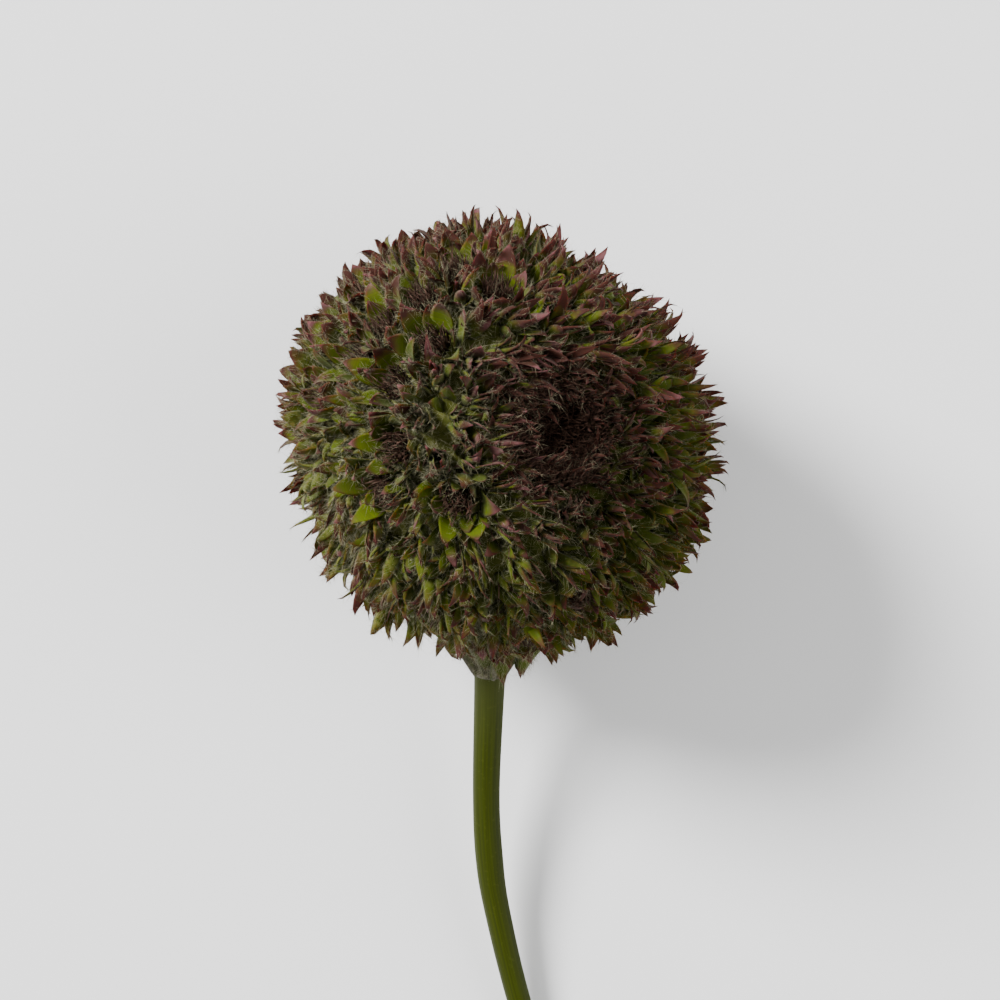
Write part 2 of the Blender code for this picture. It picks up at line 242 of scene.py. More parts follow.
class GerberaColours(bpy.types.PropertyGroup):
    """Colours of the flower"""

    leaf: colour("Green", "Outer face of a bract", (0.038, 0.053, 0.001))
    bright_leaf: colour("Bright green", "Inner face of a bract", (0.072, 0.102, 0.001))
    felt: colour("Felt", "Woolly bloom on a bract", (0.122, 0.124, 0.030))
    bronze: colour("Bronze", "Between the green of a bract and its dark tip", (0.058, 0.028, 0.009))
    tip: colour("Tip", "Dark tip of a bract", (0.036, 0.013, 0.009))
    pink_tip: colour("Pink tip", "Paler stain on some tips", (0.112, 0.044, 0.046))
    floret: colour("Floret", "Dark florets", (0.033, 0.0165, 0.0105))
    floret_tip: colour("Floret tip", "Tips of the florets", (0.146, 0.082, 0.060))
    hair: colour("Hair", "Silvery hairs", (0.345, 0.333, 0.205))
    stem: colour("Stem", "Skin of the stem", (0.0240, 0.0315, 0.0))
    pith: colour("Pith", "Cut end of the stem", (0.30, 0.34, 0.16))


class GerberaStage(bpy.types.PropertyGroup):
    """Floor, light and camera"""

    floor: colour("Floor", "Plain pale floor", (0.86, 0.86, 0.86))
    floor_size: length("Floor size", "Side of the square floor", 20.0)
    key_power: amount("Key light", "Power in watts", 170.0)
    fill_power: amount("Fill light", "Power in watts", 40.0)
    sky: amount("Sky", "Strength of the even light from all round", 0.66)
    camera_height: length("Camera height", "From the middle of the head up to the camera", 350.0 * MM)
    camera_shift: length("Camera shift", "How far the head is above the picture's middle", 8.2 * MM)
    lens: amount("Lens", "Focal length in mm", 92.2)


def settings(name):
    return getattr(bpy.context.scene, "gerbera_" + name)


# Geometry


def unit(vectors):
    return vectors / np.linalg.norm(vectors, axis=-1, keepdims=True)


def smooth_step(low, high, values):
    """0 below low, 1 above high, and a smooth S between them."""
    x = np.clip((values - low) / (high - low), 0.0, 1.0)
    return x * x * (3.0 - 2.0 * x)


def draws(offset):
    return np.random.default_rng(settings("head").seed + offset)


def circle(number):
    """Even turns round a circle."""
    return 2.0 * math.pi * np.arange(number) / number


def turned(first, second, turn):
    """The first vectors turned towards the second by an angle: first times its cosine plus second times its sine."""
    return first * np.cos(turn)[..., None] + second * np.sin(turn)[..., None]


def square_to(axes):
    """Two unit vectors square to each axis and to each other."""
    helper = np.where(np.abs(axes[..., 2:]) < 0.9, UP, (1.0, 0.0, 0.0))
    first = unit(np.cross(axes, helper))
    return first, np.cross(axes, first)


def angles_between(first, second):
    return np.arccos(np.clip(first @ second.T, -1.0, 1.0))


def head_middle():
    return np.array((0.0, 0.0, settings("head").height))


def head_points(offsets):
    """Points given from the middle of a round head, on this head, which is a little longer one way.

    The part along the long way grows by the stretch, the part along the short way shrinks by it.
    """
    longer = (offsets @ LONG_WAY)[..., None] * LONG_WAY
    shorter = (offsets @ SHORT_WAY)[..., None] * SHORT_WAY
    return offsets + settings("head").stretch * (longer - shorter) + head_middle()


def fitted(points):
    """The points, with the outermost drawn in, and those near the surface bent flat above it.

    What is d past the reach from the middle is drawn in to s times the tanh of d / s past it, where s is the soft
    reach but far more round the stem. What is d past the half width along X is drawn in so too, with the soft
    side as s. Under the bend height h a height z becomes h times e to the power of z / h - 1.
    """
    head = settings("head")
    offsets = points - head_middle()
    far = np.linalg.norm(offsets, axis=1)
    beyond = np.maximum(far - head.reach, 0.0)
    soft = SOFT_REACH + SOFT_BY_STEM * smooth_step(0.75, 0.92, offsets @ STEM_AXIS / far)
    points = head_middle() + offsets * ((far - beyond + soft * np.tanh(beyond / soft)) / far)[:, None]
    beyond = np.maximum(np.abs(points[:, 0]) - head.half_width, 0.0)
    points[:, 0] -= np.sign(points[:, 0]) * (beyond - SOFT_SIDE * np.tanh(beyond / SOFT_SIDE))
    h = head.floor_bend
    z = points[:, 2]
    points[:, 2] = np.where(z < h, h * np.exp(np.minimum(z / h - 1.0, 0.0)), z)
    return points


def build_mesh(name, points, faces, attributes, material, uv=None):
    """A piece made from points and from lists of faces with as many corners each, with smooth shading."""
    mesh = bpy.data.meshes.new(name)
    corners = np.concatenate([f.ravel() for f in faces]).astype(np.int32)
    sizes = np.concatenate([np.full(len(f), f.shape[1], dtype=np.int32) for f in faces])
    mesh.vertices.add(len(points))
    mesh.vertices.foreach_set("co", points.astype(np.float32).ravel())
    mesh.loops.add(len(corners))
    mesh.loops.foreach_set("vertex_index", corners)
    mesh.polygons.add(len(sizes))
    mesh.polygons.foreach_set("loop_start", np.concatenate([[0], np.cumsum(sizes)[:-1]]).astype(np.int32))
    mesh.polygons.foreach_set("use_smooth", np.ones(len(sizes), dtype=bool))
    mesh.update(calc_edges=True)
    for key, values in attributes.items():
        layer = mesh.attributes.new(key, "FLOAT", "POINT")
        layer.data.foreach_set("value", np.broadcast_to(values, len(points)).astype(np.float32))
    if uv is not None:
        layer = mesh.uv_layers.new(name="along")
        layer.data.foreach_set("uv", uv[corners].astype(np.float32).ravel())
    mesh.materials.append(material)
    if mesh.validate():
        raise RuntimeError(f"{name} has faces that can't be built")
    piece = bpy.data.objects.new(name, mesh)
    bpy.context.scene.collection.objects.link(piece)
    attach(piece, "root")
    return piece


def tube_faces(count, rows, around):
    """Faces of many closed tubes with rows of points around each, a flat foot and a point at the tip.

    The points of a tube are its rows from the foot up, and its tip.
    """
    size = rows * around + 1
    first = np.arange(count)[:, None] * size
    low = first[:, :, None] + np.arange(rows - 1)[None, :, None] * around
    k = np.arange(around)
    after = (k + 1) % around
    sides = np.stack([low + k, low + after, low + around + after, low + around + k], axis=-1).reshape(-1, 4)
    foot = first + k[::-1]
    top = first + (rows - 1) * around
    tip = np.stack([top + k, top + after, first + size - 1 + 0 * k], axis=-1).reshape(-1, 3)
    return [sides, foot, tip]


# Where the small heads are


def keep_off(points, pole, cap):
    """Unit vectors nearer to a pole than its cap, moved out to the cap's edge."""
    near = points @ pole
    across = unit(points - near[:, None] * pole)
    edge = math.cos(cap) * pole + math.sin(cap) * across
    return np.where((near > math.cos(cap))[:, None], edge, points)


def room(axes):
    """Half the spacing at each axis: it shrinks by the crowding towards the eye."""
    head = settings("head")
    far = smooth_step(head.eye_cap, 0.80, angles_between(axes, EYE_AXIS))
    return 0.5 * head.spacing * (head.eye_crowding + (1.0 - head.eye_crowding) * far)


def open_axes():
    """The axes of the open small heads: from the middle of the head through each tuft of the frame."""
    tufts = sorted(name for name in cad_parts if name.startswith("floret_tuft"))
    boxes = [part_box(name) for name in tufts]
    return unit(np.array([(low + high) / 2.0 for low, high in boxes]) - head_middle())


def filled(axes, rooms, places, limit):
    """The axes with more at the emptiest places, until no place has a free way over the limit.

    The free way is the angle to an axis less the room that this one takes, as a share of the room wanted.
    """
    wanted = room(places)
    free_way = ((angles_between(places, axes) - rooms) / wanted[:, None]).min(axis=1)
    while free_way.max() > limit:
        best = free_way.argmax()
        axes = np.vstack([axes, places[best]])
        rooms = np.append(rooms, wanted[best])
        free_way = np.minimum(free_way, (angles_between(places, places[best]) - wanted[best]) / wanted)
    return axes, rooms


def pushed_apart(axes, rooms, held):
    """The axes after those past the held ones have pushed each other apart, less so beside a held one."""
    head = settings("head")
    reach = (rooms[held:, None] + rooms) * np.where(np.arange(len(axes)) < held, 1.05, 1.5)
    for _ in range(PUSHES):
        free = axes[held:]
        apart = free[:, None] - axes[None]
        far = np.linalg.norm(apart, axis=2)
        push = np.where(far > 1e-6, np.clip(1.0 - far / reach, 0.0, 1.0) / np.maximum(far, 1e-6), 0.0)
        free = unit(free + PUSH_STEP * (apart * push[:, :, None]).sum(axis=1))
        free = keep_off(keep_off(free, EYE_AXIS, head.eye_cap), STEM_AXIS, head.stem_cap)
        axes = np.vstack([axes[:held], free])
    return axes


def outside(ways, stem_cap=-1.0):
    """Which unit vectors miss the eye's middle and a cap round the stem, if this is given."""
    clear = ways @ EYE_AXIS < math.cos(settings("head").eye_cap)
    return clear & (ways @ STEM_AXIS < math.cos(stem_cap)) if stem_cap > 0.0 else clear


def spiral_places():
    """Unit vectors on a golden spiral over the ball, but for the eye's middle and the place of the stem."""
    i = np.arange(SPIRAL_PLACES)
    z = 1.0 - 2.0 * (i + 0.5) / len(i)
    turn = GOLDEN_ANGLE * i
    flat = np.sqrt(1.0 - z * z)
    places = np.stack([flat * np.cos(turn), flat * np.sin(turn), z], axis=1)
    return places[outside(places, settings("head").stem_cap)]


def from_dark(axes):
    """0 on the dark side of the eye, 1 away from it."""
    return smooth_step(0.20, 0.66, angles_between(axes, DARK_AXIS))


@cache
def small_heads():
    """The axes of all the small heads, how many of the first are open, and how far each is from the dark side.

    The open ones keep their place. The others go to the emptiest places of a golden spiral, push each other
    apart, and more fill what is still empty.
    """
    axes = open_axes()
    held = len(axes)
    places = spiral_places()
    axes, rooms = filled(axes, np.full(held, 0.5 * settings("head").open_spacing), places, FREE_BEFORE)
    axes = pushed_apart(axes, rooms, held)
    axes, _ = filled(axes, rooms, places, FREE_AFTER)
    return axes, held, from_dark(axes)


def members(number):
    """For so many members of each small head: the small head that each belongs to, and its place in it."""
    return np.repeat(np.arange(len(number)), number), np.concatenate([np.arange(n) for n in number])


def beside(axes, way, narrowness):
    """1 for small heads this way from the middle and less farther off: e to the narrowness times (cosine - 1)."""
    return np.exp(narrowness * (axes @ way - 1.0))


def round_stem(axes):
    """1 for small heads round the stem, 0 for those away from it."""
    return 1.0 - smooth_step(0.45, 1.05, angles_between(axes, STEM_AXIS))


def rightness(axes):
    """0 for small heads on the left of the head, 1 on its right and under it, and a smooth S between them."""
    return smooth_step(-0.5, 0.9, axes @ direction(0.85, -0.25, 0.2))


def fullness(axes):
    """How long the bracts of the small heads are: 1 and, near a fuller side, its share times e to 14 (cosine - 1)."""
    sides = [(math.cos(math.radians(turn)), math.sin(math.radians(turn)), 0.0) for turn, _ in FULLER_SIDES]
    return 1.0 + sum(more * beside(axes, np.array(way), 14.0) for way, (_, more) in zip(sides, FULLER_SIDES))


def more_wool(axes):
    """More wool on the small heads under the eye and left of it, round the stem and on the lower left rim."""
    by_eye = 0.5 * beside(axes, FLAME_AXIS, 9.0) + 0.6 * beside(axes, LIT_SIDE_AXIS, 7.0)
    return by_eye + 1.1 * beside(axes, WOOLLY_AXIS, 12.0) + 0.5 * round_stem(axes)


def top_stain(axes):
    """More stain on the small heads on the side away from the stem."""
    return 0.20 * smooth_step(-0.2, 0.9, axes[:, 1])


def swept(axes, amount):
    """The way in which small heads rise: their axis, leaning to +X and -Y where they face up, and to the eye.

    It is the axis plus the amount times a sum, made a unit. The sum is the lean of (0.80, -0.34, 0) times the
    share that faces up, halved near the eye, and 0.55 of the way to the eye near it. On the left it is up to 0.6
    of +Y above the middle and as much of -Y below it instead.
    """
    up = np.clip(axes[:, 2:], 0.0, 1.0) ** 1.3 * smooth_step(-0.55, 0.15, axes[:, :1])
    to_eye = EYE_AXIS - (axes @ EYE_AXIS)[:, None] * axes
    near = 1.0 - smooth_step(0.30, 0.80, angles_between(axes, EYE_AXIS))[:, None]
    side = np.array((0.80, -0.34, 0.0)) * up * (1.0 - 0.5 * near)
    left = smooth_step(0.15, 0.65, -axes[:, :1]) * np.clip(2.5 * axes[:, 1:2], -1.0, 1.0)
    return unit(axes + amount[:, None] * (side + 0.55 * near * unit(to_eye) + left * (0.0, 0.6, 0.0)))


# Bracts


def bract_rows(b):
    """The middle line of each bract and its frame, at ROWS shares t of its length.

    The bract leaves its root at its lean from the rise, and turns by its bend times t squared and its hook times t
    to the fifth, and sideways by its yaw times t. Its half width rises with a sine from the foot's share to all of
    it at 40% of the way, times 1 - t cubed, to the power of 1.15, which draws it to a point.
    """
    t = np.linspace(0.0, 1.0, ROWS)
    turn = b.lean[:, None] + b.bend[:, None] * t * t + b.hook[:, None] * t**5
    rise, out = b.rise[:, None], b.out[:, None]
    yaw = (b.yaw[:, None] * t)[..., None]
    along = unit(turned(rise, out, turn) + np.cross(rise, out) * yaw)
    sides = unit(np.cross(along, turned(out, -rise, turn)))
    away = np.cross(sides, along)
    twist = b.twist[:, None] * t
    sides, away = turned(sides, away, twist), turned(away, -sides, twist)
    step = (along[:, 1:] + along[:, :-1]) * 0.5 * b.length[:, None, None] / (ROWS - 1)
    line = b.root[:, None] + np.concatenate([np.zeros_like(step[:, :1]), np.cumsum(step, axis=1)], axis=1)
    swell = b.foot[:, None] + (1.0 - b.foot[:, None]) * np.sin(0.5 * math.pi * np.minimum(t / 0.4, 1.0))
    half = 0.5 * b.width[:, None] * swell * (1.0 - t**3.0) ** 1.15
    return SimpleNamespace(t=t, line=line, along=along, away=away, sides=sides, half=half)


def bract_lift(half, thick, keel, cup, across, face):
    """How far a point of a bract is from its middle line, towards the keel.

    Half the thickness on the faces, the keel on the back's middle, less the cup, which grows with the square of
    the way across, so that the edges turn in.
    """
    rib = np.maximum(0.0, 1.0 - 2.2 * np.abs(across)) ** 2 * np.maximum(face, 0.0)
    return 0.5 * thick * face + keel * rib - cup * half * across**2


def bract_piece(name, b, around, material):
    """A piece of closed bracts: rings of points round the middle lines, drawn to a point at the tips."""
    rows = bract_rows(b)
    sizes = settings("bracts")
    across, face = np.cos(circle(around)), np.sin(circle(around))
    body = slice(0, ROWS - 1)
    half = rows.half[:, body, None]
    fade = (1.0 - 0.7 * rows.t[body])[None, :, None]
    lift = bract_lift(half, sizes.thickness * fade, sizes.keel * fade, b.cup[:, None, None], across, face)
    rings = rows.line[:, body, None] + rows.sides[:, body, None] * (half * across)[..., None]
    rings = rings + rows.away[:, body, None] * lift[..., None]
    count = len(b.length)
    points = np.concatenate([rings.reshape(count, -1, 3), rows.line[:, -1:]], axis=1)
    acrosses = np.tile(np.append(np.tile(across, ROWS - 1), 0.0), count)
    attributes = {
        "along": np.tile(np.append(np.repeat(rows.t[body], around), 1.0), count),
        "edge": np.abs(acrosses),
        "back": np.tile(0.5 + 0.5 * np.append(np.tile(face, ROWS - 1), 0.0), count),
    }
    for key in ("stain", "tone", "wool"):
        attributes[key] = np.repeat(getattr(b, key), (ROWS - 1) * around + 1)
    uv = np.stack([0.5 + 0.5 * acrosses, attributes["along"]], axis=1)
    points = fitted(points.reshape(-1, 3))
    return build_mesh(name, points, tube_faces(count, ROWS - 1, around), attributes, material, uv)


def ring_of_bracts(axes, rises, number, ring, start, chance, depth):
    """Roots and directions of a ring of bracts round each axis, as many as number says, on a ball of this depth."""
    owner, order = members(number)
    turn = start[owner] + 2.0 * math.pi * (order + chance.uniform(-0.14, 0.14, len(owner))) / number[owner]
    out = turned(*square_to(axes[owner]), turn)
    ring = ring[owner] * chance.uniform(0.9, 1.1, len(owner))
    root = head_points(axes[owner] * np.sqrt(depth**2 - ring**2)[:, None] + out * ring[:, None])
    rise = rises[owner]
    out = unit(out - (out * rise).sum(axis=1, keepdims=True) * rise)
    return SimpleNamespace(owner=owner, root=root, rise=rise, out=out)


def curl(b, chance, bend, hook, yaw, twist, foot, cup, calm=1.0):
    """How the bracts b curl: normal draws with a mean and a spread, or with a spread alone, less where calm.

    The foot is its share of the width. The cup is drawn evenly between two values.
    """
    n = len(b.owner)
    b.bend = chance.normal(*bend, n) * calm
    b.hook = chance.normal(*hook, n) * calm
    b.yaw = chance.normal(0.0, yaw, n)
    b.twist = chance.normal(0.0, twist, n) * calm
    b.foot = np.full(n, foot)
    b.cup = chance.uniform(*cup, n)


def join(groups):
    keys = vars(groups[0])
    return SimpleNamespace(**{key: np.concatenate([getattr(g, key) for g in groups]) for key in keys})


def chosen(group, which):
    return SimpleNamespace(**{key: value[which] for key, value in vars(group).items()})


@cache
def open_bracts():
    """Two rings of broad bracts round each open small head.

    A ring is its radius in mm, its fewest bracts, their share of the full size, their lean and their first turn.
    """
    sizes = settings("bracts")
    axes, held, from_eye = small_heads()
    axes = axes[:held]
    chance = draws(1)
    groups = []
    depth = settings("head").core - ROOT_DEPTH
    start = chance.uniform(0.0, 6.3, held)
    for ring, fewest, scale, lean, lift in [(2.95, 6, 1.0, 0.46, 0.0), (2.60, 4, 0.80, 0.28, 0.5)]:
        counts = np.full(held, fewest) + chance.integers(0, 2, held)
        rises = swept(axes, np.full(held, 0.12))
        b = ring_of_bracts(axes, rises, counts, np.full(held, ring * MM), start + lift, chance, depth)
        n = len(b.owner)
        own, eye = axes[b.owner], from_eye[b.owner]
        side = rightness(own)
        b.length = sizes.open_length * scale * chance.uniform(0.74, 1.12, n) * fullness(own)
        b.width = sizes.open_width * scale * chance.uniform(0.80, 1.15, n) * (0.75 + 0.25 * eye)
        b.lean = lean + chance.normal(0.0, 0.10, n)
        curl(b, chance, bend=(0.0, 0.36), hook=(-0.35, 0.6), yaw=0.14, twist=0.30, foot=0.60, cup=(0.18, 0.42))
        b.stain = 0.13 + 0.05 * side + top_stain(own) + chance.normal(0.0, 0.08, n)
        b.tone = chance.uniform(0.0, 1.0, n)
        b.wool = chance.uniform(0.2, 0.8, n) * (1.6 - 1.1 * side) + more_wool(own)
        groups.append(b)
    return join(groups)


def fans(axes, from_eye, sweep, rings, chance):
    """Fans of narrow bracts round axes: smaller and darker beside the eye, broader and paler beside the stem.

    A ring of a fan is its radius in mm, the fewest bracts and one more than the most, and their length, width,
    lean, first turn and stain. Where the head faces up, the bracts bend and twist less.
    """
    sizes = settings("bracts")
    depth = settings("head").core - ROOT_DEPTH
    number = len(axes)
    start = chance.uniform(0.0, 6.3, number)
    openness = chance.uniform(0.0, 1.0, number) ** 1.5
    near = 1.0 - smooth_step(0.45, 1.0, angles_between(axes, EYE_AXIS))
    rises = swept(axes, sweep * chance.uniform(0.75, 1.3, number))
    rises = unit(rises + chance.normal(0.0, 0.15, (number, 3)))
    groups = []
    for ring, low, high, long, wide, lean, lift, stain in rings:
        counts = chance.integers(low, high, number)
        radii = ring * MM * (0.55 + 0.45 * from_eye) * (1.0 + 0.35 * openness)
        b = ring_of_bracts(axes, rises, counts, radii, start + lift, chance, depth)
        n = len(b.owner)
        own, eye = axes[b.owner], from_eye[b.owner]
        stem, side = round_stem(own), rightness(own)
        up = smooth_step(0.60, 0.95, own[:, 2])
        size = sizes.eye_length + (sizes.closed_length - sizes.eye_length) * eye
        width = sizes.eye_width + (sizes.closed_width - sizes.eye_width) * eye
        size = size * long * (1.0 - 0.10 * stem + 0.12 * up)
        width = width * wide * (1.0 - 0.08 * side) * (1.0 + 0.55 * stem)
        lean = lean * (0.6 + 0.6 * openness[b.owner]) * (1.0 - 0.4 * up)
        stain = stain + 0.18 - 0.11 * stem + 0.44 * (1.0 - eye) + top_stain(own)
        # Painted light: towards the lit upper left the bracts get less dark stain and a brighter green. Painted shade:
        # towards the shaded lower right they get a darker green. Below the eye the green is also made brighter.
        stain = stain + 0.34 * near[b.owner] * (1.0 - side) - 0.10 * beside(own, LIT_SIDE_AXIS, 6.0)
        paler = 0.35 * beside(own, FLAME_AXIS, 9.0) + 0.50 * beside(own, LIT_SIDE_AXIS, 6.0)
        paler = paler - 0.55 * beside(own, SHADED_SIDE_AXIS, 6.0)
        b.length = size * chance.uniform(0.70, 1.15, n) * fullness(own)
        b.width = width * chance.uniform(0.75, 1.2, n)
        b.lean = lean + chance.normal(0.0, 1.0, n) * (0.30 - 0.20 * eye)
        curl(b, chance, bend=(0.04, 0.45), hook=(0.0, 1.2), yaw=0.22, twist=0.45, foot=0.62, cup=(0.2, 0.6),
             calm=1.0 - 0.6 * up)
        b.stain = stain + chance.normal(0.0, 0.11, n) * (1.0 - 0.5 * stem)
        b.tone = chance.uniform(0.0, 0.45, n) + 0.55 * eye * chance.uniform(0.0, 1.0, n) + paler
        b.wool = chance.uniform(0.3, 1.0, n) * (1.6 - 1.0 * side) * (1.0 - 0.40 * up * eye) + more_wool(own)
        groups.append(b)
    return join(groups)


@cache
def closed_bracts():
    """The fans of the closed small heads: short green bracts outside, longer and darker ones in the middle."""
    axes, held, from_eye = small_heads()
    rings = [
        (1.45, 5, 6, 0.72, 1.12, 0.40, 0.0, -0.10),
        (0.95, 4, 5, 0.97, 1.00, 0.17, 0.5, 0.0),
        (0.42, 2, 4, 1.03, 0.86, 0.04, 0.9, 0.04),
    ]
    return fans(axes[held:], from_eye[held:], 1.1, rings, draws(2))


@cache
def filler_bracts():
    """Short fans that stand straight where the other bracts leave the receptacle bare.

    They go one by one to the place on the golden spiral that is farthest from every bract and every other filler,
    until none is farther than the filler gap. The tufts of the open small heads count as covered.
    """
    axes, held, _ = small_heads()
    lines = [bract_rows(b).line[:, 2:7].reshape(-1, 3) for b in (open_bracts(), closed_bracts())]
    ways = unit(np.concatenate(lines) - head_middle())
    places = spiral_places()
    far = np.arccos(np.clip((places @ ways.T).max(axis=1), -1.0, 1.0))
    far[(angles_between(places, axes[:held]) < TUFT_COVER).any(axis=1)] = 0.0
    found = []
    while far.max() > FILLER_GAP:
        found.append(places[far.argmax()])
        far = np.minimum(far, angles_between(places, found[-1]))
    found = np.array(found)
    return fans(found, from_dark(found), 0.35, [(0.8, 3, 5, 0.60, 1.15, 0.46, 0.0, -0.06)], draws(8))


@cache
def collar_bracts():
    """Woolly bracts round the top of the stem: one ring hangs from the head, two lie on the funnel.

    A ring is its radius and its distance from the middle of the head in mm, and the bracts' number, length and lean.
    """
    sizes = settings("bracts")
    chance = draws(3)
    axes = STEM_AXIS[None]
    groups = []
    rings = [(9.6, 24.7, 17, 0.68, -0.10), (7.9, 29.2, 12, 0.66, -0.52), (6.0, 31.0, 8, 0.44, -0.50)]
    for ring, far, number, scale, lean in rings:
        start = chance.uniform(0.0, 6.3, 1)
        b = ring_of_bracts(axes, axes, np.array([number]), np.array([ring * MM]), start, chance, far * MM)
        n = len(b.owner)
        b.length = sizes.collar_length * scale * chance.uniform(0.80, 1.10, n)
        b.width = sizes.collar_width * chance.uniform(0.7, 1.1, n)
        b.lean = lean + chance.normal(0.0, 0.05, n)
        curl(b, chance, bend=(0.04, 0.08), hook=(0.25, 0.30), yaw=0.10, twist=0.15, foot=0.85, cup=(0.25, 0.45))
        b.stain = 0.15 + chance.normal(0.0, 0.06, n)
        b.tone = chance.uniform(0.2, 0.7, n)
        b.wool = chance.uniform(0.0, 0.4, n)
        groups.append(b)
    return join(groups)


# Florets


def needle_piece(name, roots, ways, bends, widths, tone, material, rows=3):
    """A piece of many tapering threads.

    A thread's middle line is root + way * t + bend * t squared, with t from 0 at the root to 1 at the tip. Its
    half width falls off as the square root of 1 - t, round a frame that is square to it.
    """
    count = len(roots)
    t = np.arange(rows) / rows
    line = roots[:, None] + ways[:, None] * t[:, None] + bends[:, None] * (t * t)[:, None]
    first, second = square_to(unit(ways[:, None] + 2.0 * bends[:, None] * t[:, None]))
    ring = turned(first[:, :, None], second[:, :, None], circle(SIDES))
    half = 0.5 * widths[:, None, None, None] * np.sqrt(1.0 - t)[:, None, None]
    rings = (line[:, :, None] + ring * half).reshape(count, rows * SIDES, 3)
    points = np.concatenate([rings, (roots + ways + bends)[:, None]], axis=1)
    attributes = {
        "along": np.tile(np.append(np.repeat(t, SIDES), 1.0), count),
        "tone": np.repeat(tone, rows * SIDES + 1),
    }
    return build_mesh(name, fitted(points.reshape(-1, 3)), tube_faces(count, rows, SIDES), attributes, material)


def tuft_florets():
    """Crinkled florets on a golden spiral in each small head, leaning out and in again near the tuft's edge.

    The open ones have a full tuft, the closed ones a few florets between their bracts. A floret's height is the
    tuft's times 0.75 plus 0.35 times its way out. Its foot is at 0.7 of its way out, from where it leans out by
    0.35 of it and bends back by 0.3.
    """
    florets = settings("florets")
    axes, held, from_eye = small_heads()
    chance = draws(4)
    number = np.where(np.arange(len(axes)) < held, OPEN_FLORETS, CLOSED_FLORETS)
    owner, order = members(number)
    n = len(owner)
    is_open = owner < held
    reach = np.sqrt((order + 0.5) / number[owner])
    out = turned(*square_to(axes[owner]), GOLDEN_ANGLE * order + owner)
    radius = florets.tuft_radius * np.where(is_open, 1.0, 0.45 + 0.25 * from_eye[owner]) * reach
    depth = settings("head").core - 0.2 * MM
    root = head_points(axes[owner] * depth + out * (0.7 * radius)[:, None])
    height = florets.tuft_height * (0.75 + 0.35 * reach) * chance.uniform(0.8, 1.15, n)
    height = height * np.where(is_open, 1.0, 1.15)
    way = swept(axes, np.full(len(axes), 0.3))[owner] * height[:, None] + out * (0.35 * radius)[:, None]
    way = way + chance.normal(0.0, 0.50 * MM, (n, 3))
    bend = -out * (0.3 * radius)[:, None] + chance.normal(0.0, 0.60 * MM, (n, 3))
    width = florets.width * chance.uniform(0.7, 1.2, n)
    return root, way, bend, width, chance.uniform(0.2, 1.0, n)


def eye_florets():
    """Florets on a golden spiral over the dished eye: short and dark in the middle, tall at the rim.

    A floret's height is the rim's height times 0.40 plus 0.60 times its way out to the power of 0.8.
    """
    florets = settings("florets")
    chance = draws(5)
    n = EYE_FLORETS
    order = np.arange(n)
    reach = np.sqrt((order + 0.5) / n)
    out = turned(*square_to(EYE_AXIS[None]), GOLDEN_ANGLE * order)
    root = head_points(EYE_AXIS * florets.eye_floor + out * (florets.eye_radius * reach)[:, None])
    height = florets.eye_height * (0.40 + 0.60 * reach**0.8) * chance.uniform(0.5, 1.15, n)
    lean = (0.15 - 0.35 * reach) * height
    way = EYE_AXIS * height[:, None] + out * lean[:, None] + chance.normal(0.0, 0.55 * MM, (n, 3))
    bend = chance.normal(0.0, 0.40 * MM, (n, 3))
    width = florets.width * 0.65 * chance.uniform(0.6, 1.2, n)
    return root, way, bend, width, chance.uniform(0.1, 1.0, n) * reach**1.2


# Wool


def hair_piece(name, roots, ways, bends, tint, material, rows=1, thickness=1.0):
    """A piece of hairs that taper to a point, straight with one row and curved with more."""
    width = settings("wool").width * thickness * draws(len(roots)).uniform(0.7, 1.3, len(roots))
    return needle_piece(name, roots, ways, bends, width, tint, material, rows)


def ragged(root, way, mean, sizes, lean, bend, chance, pull=0.0):
    """Hairs that go their way with a random lean and a random bend, of these spreads, as shares of their size.

    Their size is the mean times an even draw between the two sizes. The pull is added to the bend.
    """
    n = len(root)
    size = mean * chance.uniform(*sizes, n)[:, None]
    line = unit(way + chance.normal(0.0, lean, (n, 3))) * size
    return root, line, (chance.normal(0.0, bend, (n, 3)) + pull) * size if bend else 0.0 * line


def bract_hairs(b, t, across, face, shares, sizes, lean, bend, pull, chance):
    """Hairs at the shares t of the length of random bracts, chosen more often where these are woolly.

    They go by the three shares along the bract, away from its middle line and to its side.
    """
    rows = bract_rows(b)
    bracts = settings("bracts")
    weight = b.wool * b.length * b.width
    which = chance.choice(len(b.length), len(t), p=weight / weight.sum())
    at = t * (ROWS - 1)
    low = np.minimum(at.astype(int), ROWS - 2)
    part = (at - low)[:, None]

    def between(values):
        return values[which, low] * (1.0 - part) + values[which, low + 1] * part

    half = between(rows.half[..., None])[:, 0]
    lift = bract_lift(half, bracts.thickness * (1.0 - 0.7 * t), bracts.keel, b.cup[which], across, face)
    along, sides, away = between(rows.along), between(rows.sides), between(rows.away)
    place = between(rows.line) + sides * (half * across)[:, None] + away * lift[:, None]
    way = along * shares[0] + away * shares[1] + sides * (shares[2] * across)[:, None]
    hairs = ragged(place, way, settings("wool").short, sizes, lean, bend, chance, along * pull)
    return *hairs, np.clip(b.stain[which] + t - 0.75, 0.0, 1.0)


def felt_hairs(b, number, chance):
    """Short hairs that lie along the backs of the bracts and lift off towards their tips."""
    t = chance.uniform(0.02, 0.94, number) ** 1.15
    across = chance.uniform(-0.95, 0.95, number)
    face = np.sqrt(1.0 - across**2)
    return bract_hairs(b, t, across, face, (0.75, 0.42, 0.4), (0.5, 1.5), 0.42, 0.35, 0.15, chance)


def edge_hairs(b, number, chance):
    """Hairs along both edges of the bracts, out and forward."""
    t = chance.uniform(0.05, 0.97, number)
    across = np.where(chance.uniform(size=number) < 0.5, -1.0, 1.0)
    return bract_hairs(b, t, across, 0.0 * t, (0.55, 0.0, 0.8), (0.4, 1.2), 0.32, 0.3, 0.3, chance)


